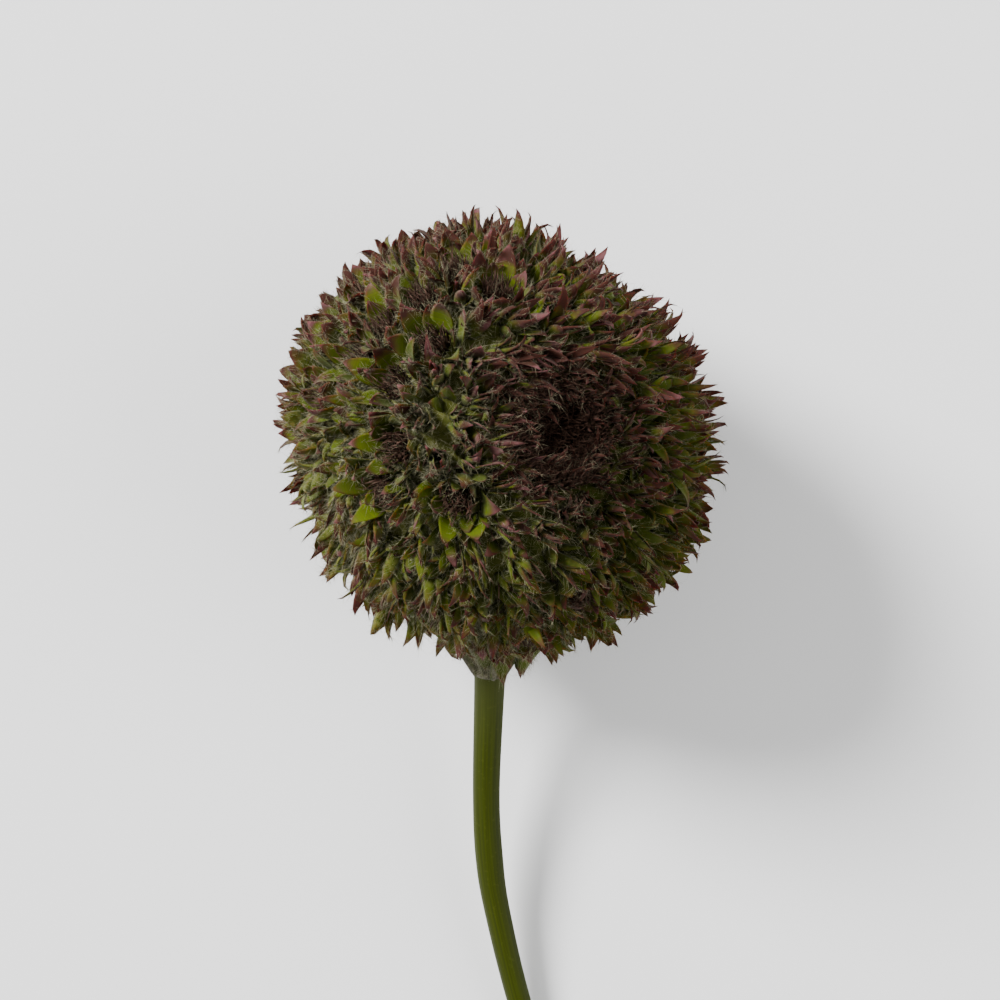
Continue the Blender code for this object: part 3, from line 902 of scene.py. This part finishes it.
def loose_hairs(number, chance):
    """Long wavy hairs that rise in the gaps between the small heads, more of them on the left."""
    head = settings("head")
    axes, held, _ = small_heads()
    taken = np.where(np.arange(len(axes)) < held, 0.38 * head.open_spacing, 0.75 * room(axes))
    way = unit(chance.normal(0.0, 1.0, (6 * number, 3)) + (-0.55, 0.0, 0.25))
    way = way[(angles_between(way, axes) > taken).all(axis=1) & outside(way, LOOSE_STEM_CAP)][:number]
    n = len(way)
    root = head_points(way * (head.core - 0.6 * MM + chance.uniform(0.0, 1.2 * MM, n)[:, None]))
    hairs = ragged(root, way, settings("wool").long, (0.35, 1.2), 0.7, 0.40, chance)
    return *hairs, chance.uniform(0.0, 0.25, n)


def ground_hairs(number, chance):
    """Short hairs that stand on the receptacle every way, more of them on the left."""
    way = unit(chance.normal(0.0, 1.0, (number, 3)) - (0.35, 0.0, 0.0))
    way = way[outside(way)]
    root = head_points(way * (settings("head").core - ROOT_DEPTH))
    return *ragged(root, way, settings("wool").short, (0.9, 2.2), 0.6, 0.0, chance), chance.uniform(0.0, 0.2, len(way))


def eye_hairs(number, chance):
    """Brown and pale threads that stand up round the eye, up to where the green small heads begin."""
    florets = settings("florets")
    turn = chance.uniform(0.0, 2.0 * math.pi, number)
    reach = chance.uniform(0.45, 1.45, number) * florets.eye_radius
    out = turned(*square_to(EYE_AXIS[None]), turn)
    height = (2.2 + 1.6 * np.minimum(reach / florets.eye_radius, 1.0)) * MM
    rise = florets.eye_floor + chance.uniform(0.2, 1.0, number) * height
    root = head_points(EYE_AXIS * rise[:, None] + out * reach[:, None])
    hairs = ragged(root, EYE_AXIS - 0.25 * out, settings("wool").short, (0.8, 2.0), 0.55, 0.0, chance)
    return *hairs, chance.uniform(0.35, 1.0, number)


def floret_hairs(number, chance):
    """Pale threads among the florets of the open small heads."""
    axes, held, _ = small_heads()
    owner = chance.integers(0, held, number)
    way = unit(axes[owner] + chance.normal(0.0, 0.045, (number, 3)))
    root = head_points(way * (settings("head").core + chance.uniform(1.2, 2.6, number)[:, None] * MM))
    return *ragged(root, way, settings("wool").short, (0.5, 1.1), 0.6, 0.3, chance), chance.uniform(0.3, 1.0, number)


# Receptacle and stem


def receptacle_piece(material):
    """The woolly ball between the small heads: rings round the stem's line, with a radius that waves by sines."""
    rings, around = 56, 112
    polar = (math.pi * np.arange(1, rings) / rings)[:, None, None]
    ways = np.cos(polar) * STEM_AXIS + np.sin(polar) * turned(*square_to(STEM_AXIS), circle(around))
    ways = np.concatenate([ways.reshape(-1, 3), [-STEM_AXIS]])
    wave = np.sin(41.0 * ways[:, 0] + 1.3) * np.sin(37.0 * ways[:, 1]) * np.sin(43.0 * ways[:, 2] + 0.6)
    dish = 1.0 - smooth_step(0.18, 0.34, angles_between(ways, EYE_AXIS))
    radius = settings("head").core - 0.6 * MM + 0.35 * MM * wave - 1.2 * MM * dish
    # Painted light: the pale share grows towards the lit left side, where the felt is painted paler
    attributes = {"dish": dish, "pale": smooth_step(-0.5, 0.9, -ways[:, 0])}
    faces = tube_faces(1, rings - 1, around)
    return build_mesh("receptacle", head_points(ways * radius[:, None]), faces, attributes, material)


def stem_rows(steps):
    """Points, directions and radii of the stem on a smooth curve through its route, kept above the surface.

    Between two points b and c with neighbours a and d the curve is b + ((c - a) t + (2a - 5b + 4c - d) t squared
    + (3b - a - 3c + d) t cubed) / 2.
    """
    top = [(*(head_middle() + STEM_AXIS * far * MM), radius * MM) for far, radius in STEM_TOP]
    knots = np.vstack([top, np.array(STEM_ROUTE) * MM])
    padded = np.vstack([2.0 * knots[0] - knots[1], knots, 2.0 * knots[-1] - knots[-2]])
    a, b, c, d = (padded[i : len(padded) - 3 + i, None] for i in range(4))
    t = (np.arange(steps) / steps)[None, :, None]
    curve = b + 0.5 * ((c - a) * t + (2 * a - 5 * b + 4 * c - d) * t**2 + (3 * b - a - 3 * c + d) * t**3)
    rows = np.vstack([curve.reshape(-1, 4), knots[-1]])
    points, radius = rows[:, :3], rows[:, 3]
    points[:, 2] = np.maximum(points[:, 2], radius + 0.01 * MM)
    return points, unit(np.gradient(points, axis=0)), radius


def out_of_stem(along, turn):
    """Unit vectors square to the stem: level at no turn, and then round it."""
    side = unit(np.cross(along, UP))
    return turned(side, np.cross(side, along), turn)


def funnel_rings():
    """The funnel's rings of points, their ways out from the stem, the lobes, and the share down of each ring.

    Down the funnel by a share u a ring stands out from the stem by its reach times 1 - u, and this waves by 12%
    with eleven lobes and by 8% with four, and ends sooner by up to 18% between them.
    """
    line, along, radius = (values[FUNNEL_ROWS][:, None] for values in stem_rows(FUNNEL_STEPS))
    u = np.linspace(0.0, 1.0, len(FUNNEL_ROWS))
    turn = circle(FUNNEL_AROUND)
    lobes = 1.0 + 0.12 * np.cos(11.0 * turn + 1.5 * np.sin(2.0 * turn)) + 0.08 * np.sin(4.0 * turn + 0.7)
    stands = np.maximum(1.0 - u[:, None] * (1.0 + 0.9 * (1.12 - lobes)), 0.0)
    reach = radius + FUNNEL_REACH * stands * lobes + 0.04 * MM
    out = out_of_stem(along, turn)
    rings = line + out * reach[..., None]
    rings[..., 2] = np.maximum(rings[..., 2], 0.3 * MM)
    return rings, out, lobes, u


def funnel_piece(material):
    """The woolly funnel from the head down to the stem: lobed rings round the stem's middle line, both ends closed."""
    rings, _, lobes, u = funnel_rings()
    points = np.concatenate([rings.reshape(-1, 3), rings[-1:].mean(axis=1)])
    round_it = np.abs(2.0 * np.arange(FUNNEL_AROUND) / FUNNEL_AROUND - 1.0)
    down = np.append(np.repeat(u, FUNNEL_AROUND), 1.0)
    uv = np.stack([np.append(np.tile(round_it, len(u)), 0.0), down], axis=1)
    faces = [f[:, ::-1] for f in tube_faces(1, len(u), FUNNEL_AROUND)]
    return build_mesh("collar_funnel", points, faces, {"lobe": np.append(np.tile(lobes, len(u)), 1.0)}, material, uv)


def funnel_hairs(number, chance):
    """Short hairs on the funnel, out and down."""
    rings, out, _, u = funnel_rings()
    row = chance.integers(0, len(u) - 2, number)
    turn = chance.integers(0, FUNNEL_AROUND, number)
    part = chance.uniform(0.0, 1.0, number)[:, None]
    root = rings[row, turn] * (1.0 - part) + rings[row + 1, (turn + 1) % FUNNEL_AROUND] * part
    way = out[row, turn] * 0.4 + unit(rings[row + 1, turn] - rings[row, turn]) * 0.8
    return *ragged(root, way, settings("wool").short, (0.5, 1.4), 0.45, 0.0, chance), np.zeros(number)


def stem_piece(material):
    """The stem: rings square to its middle line, faintly ridged, with a hollow cut end.

    A ring's radius waves by 1.2% with nine ridges. Past the last ring the surface turns in over the cut wall and
    down into the hollow.
    """
    line, along, radius = stem_rows(STEM_STEPS)
    last = len(line) - 1
    shift, scale, cut = np.concatenate([[(0.0, 1.0, 0.0)] * last, STEM_END]).T
    rows = np.minimum(np.arange(len(cut)), last)
    turn = circle(STEM_AROUND)
    middle = line[rows] + along[rows] * (shift * MM)[:, None]
    ridge = 1.0 + 0.012 * np.cos(9.0 * turn)[None, :]
    reach = (radius[rows] * scale)[:, None] * np.where(cut[:, None] > 0.0, 1.0, ridge)
    rings = middle[:, None] + out_of_stem(along[rows][:, None], turn) * reach[..., None]
    points = np.concatenate([rings.reshape(-1, 3), middle[-1:]])
    points[:, 2] = np.maximum(points[:, 2], 0.02 * MM)
    way = np.concatenate([[0.0], np.cumsum(np.linalg.norm(np.diff(middle, axis=0), axis=1))])
    shares = np.append(np.repeat(way, STEM_AROUND), way[-1])
    uv = np.stack([np.append(np.tile(np.cos(turn), len(rows)), 0.0), shares], axis=1)
    attributes = {"cut": np.append(np.repeat(cut, STEM_AROUND), 0.5), "way": shares / way[-1]}
    faces = [f[:, ::-1] for f in tube_faces(1, len(rows), STEM_AROUND)]
    return build_mesh("stem_skin", points, faces, attributes, material, uv)


def stem_hairs(number, chance):
    """A thin down on the top of the stem, thinner farther from the head."""
    at = DOWN_START + (DOWN_RINGS * chance.uniform(0.0, 1.0, number) ** 2).astype(int)
    line, along, radius = (values[at] for values in stem_rows(STEM_STEPS))
    out = out_of_stem(along, chance.uniform(0.0, 2.0 * math.pi, number))
    root = line + along * chance.uniform(0.0, 0.9 * MM, number)[:, None] + out * radius[:, None]
    return *ragged(root, out * 0.8, settings("wool").short, (0.25, 0.8), 0.5, 0.25, chance), np.zeros(number)


# Materials


class Nodes:
    """The nodes of a material or of a node group, placed from right to left."""

    def __init__(self, tree):
        self.tree = tree

    def put(self, value, socket):
        """Links a socket to another, or sets its constant value, where a colour gets its alpha."""
        if isinstance(value, bpy.types.NodeSocket):
            self.tree.links.new(value, socket)
        else:
            socket.default_value = (*value, 1.0) if socket.type == "RGBA" else value

    def add(self, kind, inputs=(), **values):
        node = self.tree.nodes.new(kind)
        for key, value in values.items():
            setattr(node, key, value)
        for socket, value in dict(inputs).items():
            self.put(value, node.inputs[socket])
        node.location = (-220.0 * len(self.tree.nodes), 0.0)
        return node

    def attribute(self, name):
        return self.add("ShaderNodeAttribute", attribute_name=name).outputs["Fac"]

    def math(self, operation, first, second, third=0.0):
        return self.add("ShaderNodeMath", {0: first, 1: second, 2: third}, operation=operation).outputs[0]

    def times(self, first, second):
        return self.math("MULTIPLY", first, second)

    def less(self, first, second):
        return self.math("SUBTRACT", first, second)

    def mix(self, factor, low, high):
        return self.add("ShaderNodeMix", {0: factor, 6: low, 7: high}, data_type="RGBA").outputs[2]

    def band(self, value, low, high):
        """0 below low, 1 above high, and a smooth S between them."""
        inputs = {0: value, 1: low, 2: high}
        return self.add("ShaderNodeMapRange", inputs, interpolation_type="SMOOTHSTEP").outputs[0]

    def noise(self, scale, detail=2.0, vector=None):
        vector = vector or self.add("ShaderNodeTexCoord").outputs["Object"]
        return self.add("ShaderNodeTexNoise", {"Vector": vector, "Scale": scale, "Detail": detail}).outputs["Fac"]

    def veins(self, lines, stretch):
        inputs = {"Lines": lines, "Stretch": stretch}
        return self.add("ShaderNodeGroup", inputs, node_tree=vein_group()).outputs["Veins"]

    def wool(self, scale, low, high):
        inputs = {"Scale": scale, "Low": low, "High": high}
        return self.add("ShaderNodeGroup", inputs, node_tree=wool_group()).outputs


class Skin(Nodes):
    """A new material's nodes."""

    def __init__(self, name):
        self.material = bpy.data.materials.new(name)
        self.material.use_nodes = True
        super().__init__(self.material.node_tree)

    def finish(self, base, roughness, bump=None, strength=0.0, distance=0.0, **constants):
        shader = self.tree.nodes["Principled BSDF"].inputs
        self.put(base, shader["Base Color"])
        self.put(roughness, shader["Roughness"])
        if bump is not None:
            node = self.add("ShaderNodeBump", {"Height": bump, "Strength": strength, "Distance": distance})
            self.put(node.outputs["Normal"], shader["Normal"])
        for key, value in constants.items():
            shader[key.replace("_", " ")].default_value = value
        return self.material


def new_group(name, inputs, outputs):
    """The nodes of a new node group with named number sockets, its inputs and where its outputs go."""
    tree = bpy.data.node_groups.new(name, "ShaderNodeTree")
    for key, default in inputs.items():
        tree.interface.new_socket(key, in_out="INPUT", socket_type="NodeSocketFloat").default_value = default
    for key in outputs:
        tree.interface.new_socket(key, in_out="OUTPUT", socket_type="NodeSocketFloat")
    return Nodes(tree), tree.nodes.new("NodeGroupInput").outputs, tree.nodes.new("NodeGroupOutput").inputs


def vein_group():
    """Fine lines along a leaf: noise on its UV map, stretched along it, as a height."""
    if "leaf veins" in bpy.data.node_groups:
        return bpy.data.node_groups["leaf veins"]
    s, given, result = new_group("leaf veins", {"Lines": 26.0, "Stretch": 1.6}, ["Veins"])
    parts = s.add("ShaderNodeSeparateXYZ", {0: s.add("ShaderNodeUVMap", uv_map="along").outputs[0]}).outputs
    across, along = s.times(parts[0], given["Lines"]), s.times(parts[1], given["Stretch"])
    place = s.add("ShaderNodeCombineXYZ", {0: across, 1: along}).outputs[0]
    s.put(s.noise(1.0, 3.0, place), result["Veins"])
    return s.tree


def wool_group():
    """Matted wool: noise on Object coordinates as a height, and as a mask that rises between two of its values."""
    if "matted wool" in bpy.data.node_groups:
        return bpy.data.node_groups["matted wool"]
    s, given, result = new_group("matted wool", {"Scale": 1500.0, "Low": 0.36, "High": 0.64}, ["Mask", "Height"])
    height = s.noise(given["Scale"], 3.0)
    s.put(s.band(height, given["Low"], given["High"]), result["Mask"])
    s.put(height, result["Height"])
    return s.tree


def shade(colour, factor):
    return tuple(factor * v for v in colour)


def bract_material():
    """Green bracts: brighter inside, felted on the back, stained dark from the tip and edges inwards, with a painted
    sheen of hair colour where they are seen edge-on.
    """
    c = settings("colours")
    s = Skin("bract skin")
    along, edge, back = s.attribute("along"), s.attribute("edge"), s.attribute("back")
    stain, tone, wool = s.attribute("stain"), s.attribute("tone"), s.attribute("wool")
    veins = s.veins(24.0, 1.4)
    patch = s.noise(700.0, 3.0)
    inner = s.mix(s.band(tone, 0.0, 1.0), c.leaf, c.bright_leaf)
    outer = s.mix(s.band(tone, 0.1, 0.9), shade(c.leaf, 0.7), shade(c.bright_leaf, 0.75))
    green = s.mix(s.band(back, 0.3, 0.7), inner, outer)
    green = s.mix(s.band(veins, 0.42, 0.62), s.mix(0.35, green, (0.03, 0.03, 0.008)), green)
    felted = s.times(s.band(back, 0.45, 0.75), s.times(wool, s.wool(1500.0, 0.36, 0.64)["Mask"]))
    green = s.mix(s.times(felted, 0.42), green, c.felt)
    reach = s.math("ADD", along, s.times(s.math("POWER", edge, 3.0), 0.09))
    reach = s.math("ADD", reach, s.times(s.less(patch, 0.5), 0.42))
    past = s.less(reach, s.less(0.955, stain))
    pinker = s.times(s.band(tone, 0.40, 0.75), s.band(s.noise(420.0), 0.45, 0.65))
    bronzed = s.mix(s.times(s.band(past, -0.18, 0.02), 0.55), green, c.bronze)
    base = s.mix(s.band(past, -0.06, 0.16), bronzed, s.mix(pinker, c.tip, c.pink_tip))
    # Painted sheen: hair colour mixed in where a woolly bract is seen edge-on
    rim = s.band(s.add("ShaderNodeLayerWeight", {"Blend": 0.5}).outputs["Facing"], 0.30, 1.0)
    woolly_rim_sheen = s.times(rim, s.times(wool, s.wool(2600.0, 0.36, 0.60)["Mask"]))
    base = s.mix(s.times(woolly_rim_sheen, 0.34), base, shade(c.hair, 0.5))
    rough = s.math("MULTIPLY_ADD", back, 0.30, 0.52)
    return s.finish(base, rough, veins, 0.35, 0.0001, Sheen_Weight=0.02, Sheen_Roughness=0.5,
                    Specular_IOR_Level=0.06, Subsurface_Weight=0.06, Subsurface_Scale=0.001)


def floret_material():
    """Dark florets, paler at their tips."""
    c = settings("colours")
    s = Skin("floret")
    paler = s.times(s.band(s.attribute("along"), 0.45, 1.0), s.band(s.attribute("tone"), 0.3, 1.0))
    patch = s.noise(900.0)
    base = s.mix(s.times(paler, s.band(patch, 0.3, 0.7)), c.floret, c.floret_tip)
    return s.finish(base, 0.65, patch, 0.2, 0.0001, Specular_IOR_Level=0.10)


def hair_material():
    """Silvery hairs, warmer where the bract under them is stained."""
    c = settings("colours")
    s = Skin("wool")
    warm = tuple(0.62 * h + 0.38 * t for h, t in zip(c.hair, c.pink_tip))
    silver = s.mix(s.noise(500.0), shade(c.hair, 0.7), c.hair)
    base = s.mix(s.band(s.attribute("tone"), 0.1, 0.8), silver, warm)
    return s.finish(base, 0.7, Specular_IOR_Level=0.15)


def receptacle_material():
    """Matted wool over green, dark in the eye's dish, with painted light that makes it paler towards the lit left
    side.
    """
    c = settings("colours")
    s = Skin("receptacle felt")
    matted = s.wool(900.0, 0.45, 0.75)
    base = s.mix(matted["Mask"], shade(c.leaf, 0.55), shade(c.felt, 0.40))
    # Painted light: paler felt towards the lit left side
    base = s.mix(s.times(s.attribute("pale"), matted["Height"]), base, shade(c.felt, 1.5))
    base = s.mix(s.attribute("dish"), base, shade(c.floret, 0.4))
    return s.finish(base, 0.9, matted["Height"], 0.6, 0.0004, Specular_IOR_Level=0.05)


def funnel_material():
    """Grey-beige wool with green showing through it in streaks along the lobes."""
    c = settings("colours")
    s = Skin("collar felt")
    streak = s.veins(30.0, 2.5)
    matted = s.wool(1400.0, 0.32, 0.68)
    green = s.mix(matted["Mask"], c.leaf, shade(c.bright_leaf, 0.6))
    wool = s.mix(matted["Mask"], (0.048, 0.043, 0.022), (0.130, 0.117, 0.076))
    showing = s.times(s.band(streak, 0.48, 0.62), s.band(s.attribute("lobe"), 0.92, 1.08))
    base = s.mix(s.times(showing, 0.85), wool, green)
    return s.finish(base, 0.85, matted["Height"], 0.5, 0.0003, Sheen_Weight=0.10, Specular_IOR_Level=0.15)


def stem_material():
    """Olive skin with faint streaks along it and small pale specks, and pale pith on the cut end."""
    c = settings("colours")
    s = Skin("stem skin")
    uv = s.add("ShaderNodeUVMap", uv_map="along").outputs[0]
    stretched = s.add("ShaderNodeMapping", {"Vector": uv, "Scale": (7.0, 60.0, 1.0)}).outputs[0]
    streak = s.noise(1.0, 4.0, stretched)
    base = s.mix(s.band(streak, 0.35, 0.65), shade(c.stem, 0.82), shade(c.stem, 1.12))
    base = s.mix(s.times(s.band(s.noise(1900.0, 1.0), 0.62, 0.75), 0.14), base, (0.07, 0.08, 0.01))
    neck = s.less(1.0, s.band(s.attribute("way"), 0.05, 0.22))
    base = s.mix(s.times(neck, 0.5), base, (0.060, 0.066, 0.022))
    base = s.mix(s.attribute("cut"), base, c.pith)
    return s.finish(base, 0.62, streak, 0.12, 0.0002, Specular_IOR_Level=0.08, Sheen_Weight=0.03)


def floor_material():
    """A plain pale floor."""
    s = Skin("pale floor")
    floor = settings("stage").floor
    base = s.mix(s.noise(35.0), shade(floor, 0.985), floor)
    return s.finish(base, 0.7, Specular_IOR_Level=0.2)


# The pieces


def start_anew():
    """Drops what was worked out from earlier settings."""
    for worked_out in (small_heads, open_bracts, closed_bracts, filler_bracts, collar_bracts):
        worked_out.cache_clear()


class GERBERA_OT_receptacle(bpy.types.Operator):
    """Adds the woolly ball that carries the small heads"""

    bl_idname = "gerbera.receptacle"
    bl_label = "Receptacle"

    def execute(self, context):
        for piece in (receptacle_piece(receptacle_material()), funnel_piece(funnel_material())):
            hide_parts("bract_head")
        return {"FINISHED"}


class GERBERA_OT_bracts(bpy.types.Operator):
    """Adds the bracts of the open and closed small heads and of the collar"""

    bl_idname = "gerbera.bracts"
    bl_label = "Bracts"

    def execute(self, context):
        start_anew()
        skin = bract_material()
        closed = closed_bracts()
        small = closed.width < SMALL_WIDTH
        left = closed.root[:, 0] < 0.0
        groups = [
            ("open_bracts", open_bracts(), 8),
            ("closed_bracts_1", chosen(closed, left & ~small), 6),
            ("closed_bracts_2", chosen(closed, ~left & ~small), 6),
            ("small_bracts", chosen(closed, small), 4),
            ("filler_bracts", filler_bracts(), 5),
            ("collar_bracts", collar_bracts(), 8),
        ]
        for name, bracts, around in groups:
            piece = bract_piece(name, bracts, around, skin)
            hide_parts("bract_head")
        return {"FINISHED"}


class GERBERA_OT_florets(bpy.types.Operator):
    """Adds the dark florets of the small heads and of the eye"""

    bl_idname = "gerbera.florets"
    bl_label = "Florets"

    def execute(self, context):
        start_anew()
        skin = floret_material()
        tufts = needle_piece("tuft_florets", *tuft_florets(), skin)
        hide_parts(*(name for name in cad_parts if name.startswith("floret_tuft")))
        eye = needle_piece("eye_bristles", *eye_florets(), skin)
        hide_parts("eye_florets")
        threads = hair_piece("eye_hairs", *eye_hairs(settings("wool").eye_hairs, draws(9)), skin)
        return {"FINISHED"}


class GERBERA_OT_wool(bpy.types.Operator):
    """Adds the silvery hairs on and between the bracts, and the down on the top of the stem"""

    bl_idname = "gerbera.wool"
    bl_label = "Wool"

    def execute(self, context):
        start_anew()
        wool = settings("wool")
        hair = hair_material()
        every = join([open_bracts(), closed_bracts(), filler_bracts()])
        chance = draws(6)
        half = wool.felt_hairs // 2
        pieces = [
            hair_piece("felt_hairs_1", *felt_hairs(every, half, chance), hair),
            hair_piece("felt_hairs_2", *felt_hairs(every, half, chance), hair),
            hair_piece("edge_hairs", *edge_hairs(every, wool.edge_hairs, chance), hair),
            hair_piece("loose_hairs", *loose_hairs(wool.loose_hairs, chance), hair, rows=3),
            hair_piece("ground_hairs", *ground_hairs(wool.ground_hairs, chance), hair),
            hair_piece("collar_hairs", *felt_hairs(collar_bracts(), wool.collar_hairs, chance), hair),
            hair_piece("funnel_hairs", *funnel_hairs(wool.funnel_hairs, chance), hair),
            hair_piece("floret_hairs", *floret_hairs(wool.floret_hairs, chance), hair, thickness=0.7),
        ]
        down = hair_piece("stem_down", *stem_hairs(wool.stem_hairs, draws(7)), hair)
        return {"FINISHED"}


class GERBERA_OT_stem(bpy.types.Operator):
    """Adds the stem with its cut end"""

    bl_idname = "gerbera.stem"
    bl_label = "Stem"

    def execute(self, context):
        skin = stem_piece(stem_material())
        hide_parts("stem")
        return {"FINISHED"}


class GERBERA_OT_stage(bpy.types.Operator):
    """Adds the floor, the lights and the camera"""

    bl_idname = "gerbera.stage"
    bl_label = "Stage"

    def execute(self, context):
        stage = settings("stage")
        self.add_floor(stage.floor_size / 2.0)
        for name, (place, width) in LIGHTS.items():
            self.add_light(name, place, width, getattr(stage, name + "_power"))
        world = bpy.data.worlds.new("studio")
        world.use_nodes = True
        sky = world.node_tree.nodes["Background"]
        sky.inputs["Color"].default_value = (1.0, 1.0, 1.0, 1.0)
        sky.inputs["Strength"].default_value = stage.sky
        bpy.context.scene.world = world
        camera = bpy.data.cameras.new("camera")
        camera.lens = stage.lens
        camera.sensor_width = 36.0
        camera.clip_start = 0.01
        place = head_middle() + (0.0, -stage.camera_shift, stage.camera_height)
        bpy.context.scene.camera = self.add("camera", camera, place)
        return {"FINISHED"}

    def add(self, name, data, place=(0.0, 0.0, 0.0)):
        thing = bpy.data.objects.new(name, data)
        thing.location = place
        bpy.context.scene.collection.objects.link(thing)
        return thing

    def add_floor(self, half):
        mesh = bpy.data.meshes.new("floor")
        corners = [(-half, -half, 0.0), (half, -half, 0.0), (half, half, 0.0), (-half, half, 0.0)]
        mesh.from_pydata(corners, [], [(0, 1, 2, 3)])
        mesh.materials.append(floor_material())
        floor = self.add("floor", mesh)

    def add_light(self, name, place, width, power):
        """A round light at a place from the middle of the head, turned to it."""
        data = bpy.data.lights.new(name, "AREA")
        data.shape = "DISK"
        data.size = width
        data.energy = power
        light = self.add(name, data, head_middle() + place)
        light.rotation_euler = Vector(place).to_track_quat("Z", "Y").to_euler()


class GERBERA_PT_panel(bpy.types.Panel):
    """Lists the pieces and their sizes and colours"""

    bl_label = "Gerbera"
    bl_space_type = "VIEW_3D"
    bl_region_type = "UI"
    bl_category = "Gerbera"

    def draw(self, context):
        for operator in OPERATORS:
            self.layout.operator(operator.bl_idname)
        for name, group in GROUPS.items():
            box = self.layout.box()
            box.label(text=name.capitalize())
            for key in group.__annotations__:
                box.prop(settings(name), key)


GROUPS = {
    "head": GerberaHeadSizes,
    "bracts": GerberaBractSizes,
    "florets": GerberaFloretSizes,
    "wool": GerberaWoolSizes,
    "colours": GerberaColours,
    "stage": GerberaStage,
}
OPERATORS = [
    GERBERA_OT_receptacle,
    GERBERA_OT_bracts,
    GERBERA_OT_florets,
    GERBERA_OT_wool,
    GERBERA_OT_stem,
    GERBERA_OT_stage,
]


def register():
    for cls in (*GROUPS.values(), *OPERATORS, GERBERA_PT_panel):
        bpy.utils.register_class(cls)
    for name, group in GROUPS.items():
        setattr(bpy.types.Scene, "gerbera_" + name, PointerProperty(type=group))


def unregister():
    for name in GROUPS:
        delattr(bpy.types.Scene, "gerbera_" + name)
    for cls in (GERBERA_PT_panel, *reversed(OPERATORS), *reversed(GROUPS.values())):
        bpy.utils.unregister_class(cls)


def main():
    register()
    bpy.ops.gerbera.receptacle()
    bpy.ops.gerbera.bracts()
    bpy.ops.gerbera.florets()
    bpy.ops.gerbera.wool()
    bpy.ops.gerbera.stem()
    bpy.ops.gerbera.stage()


if __name__ == "__main__":
    main()
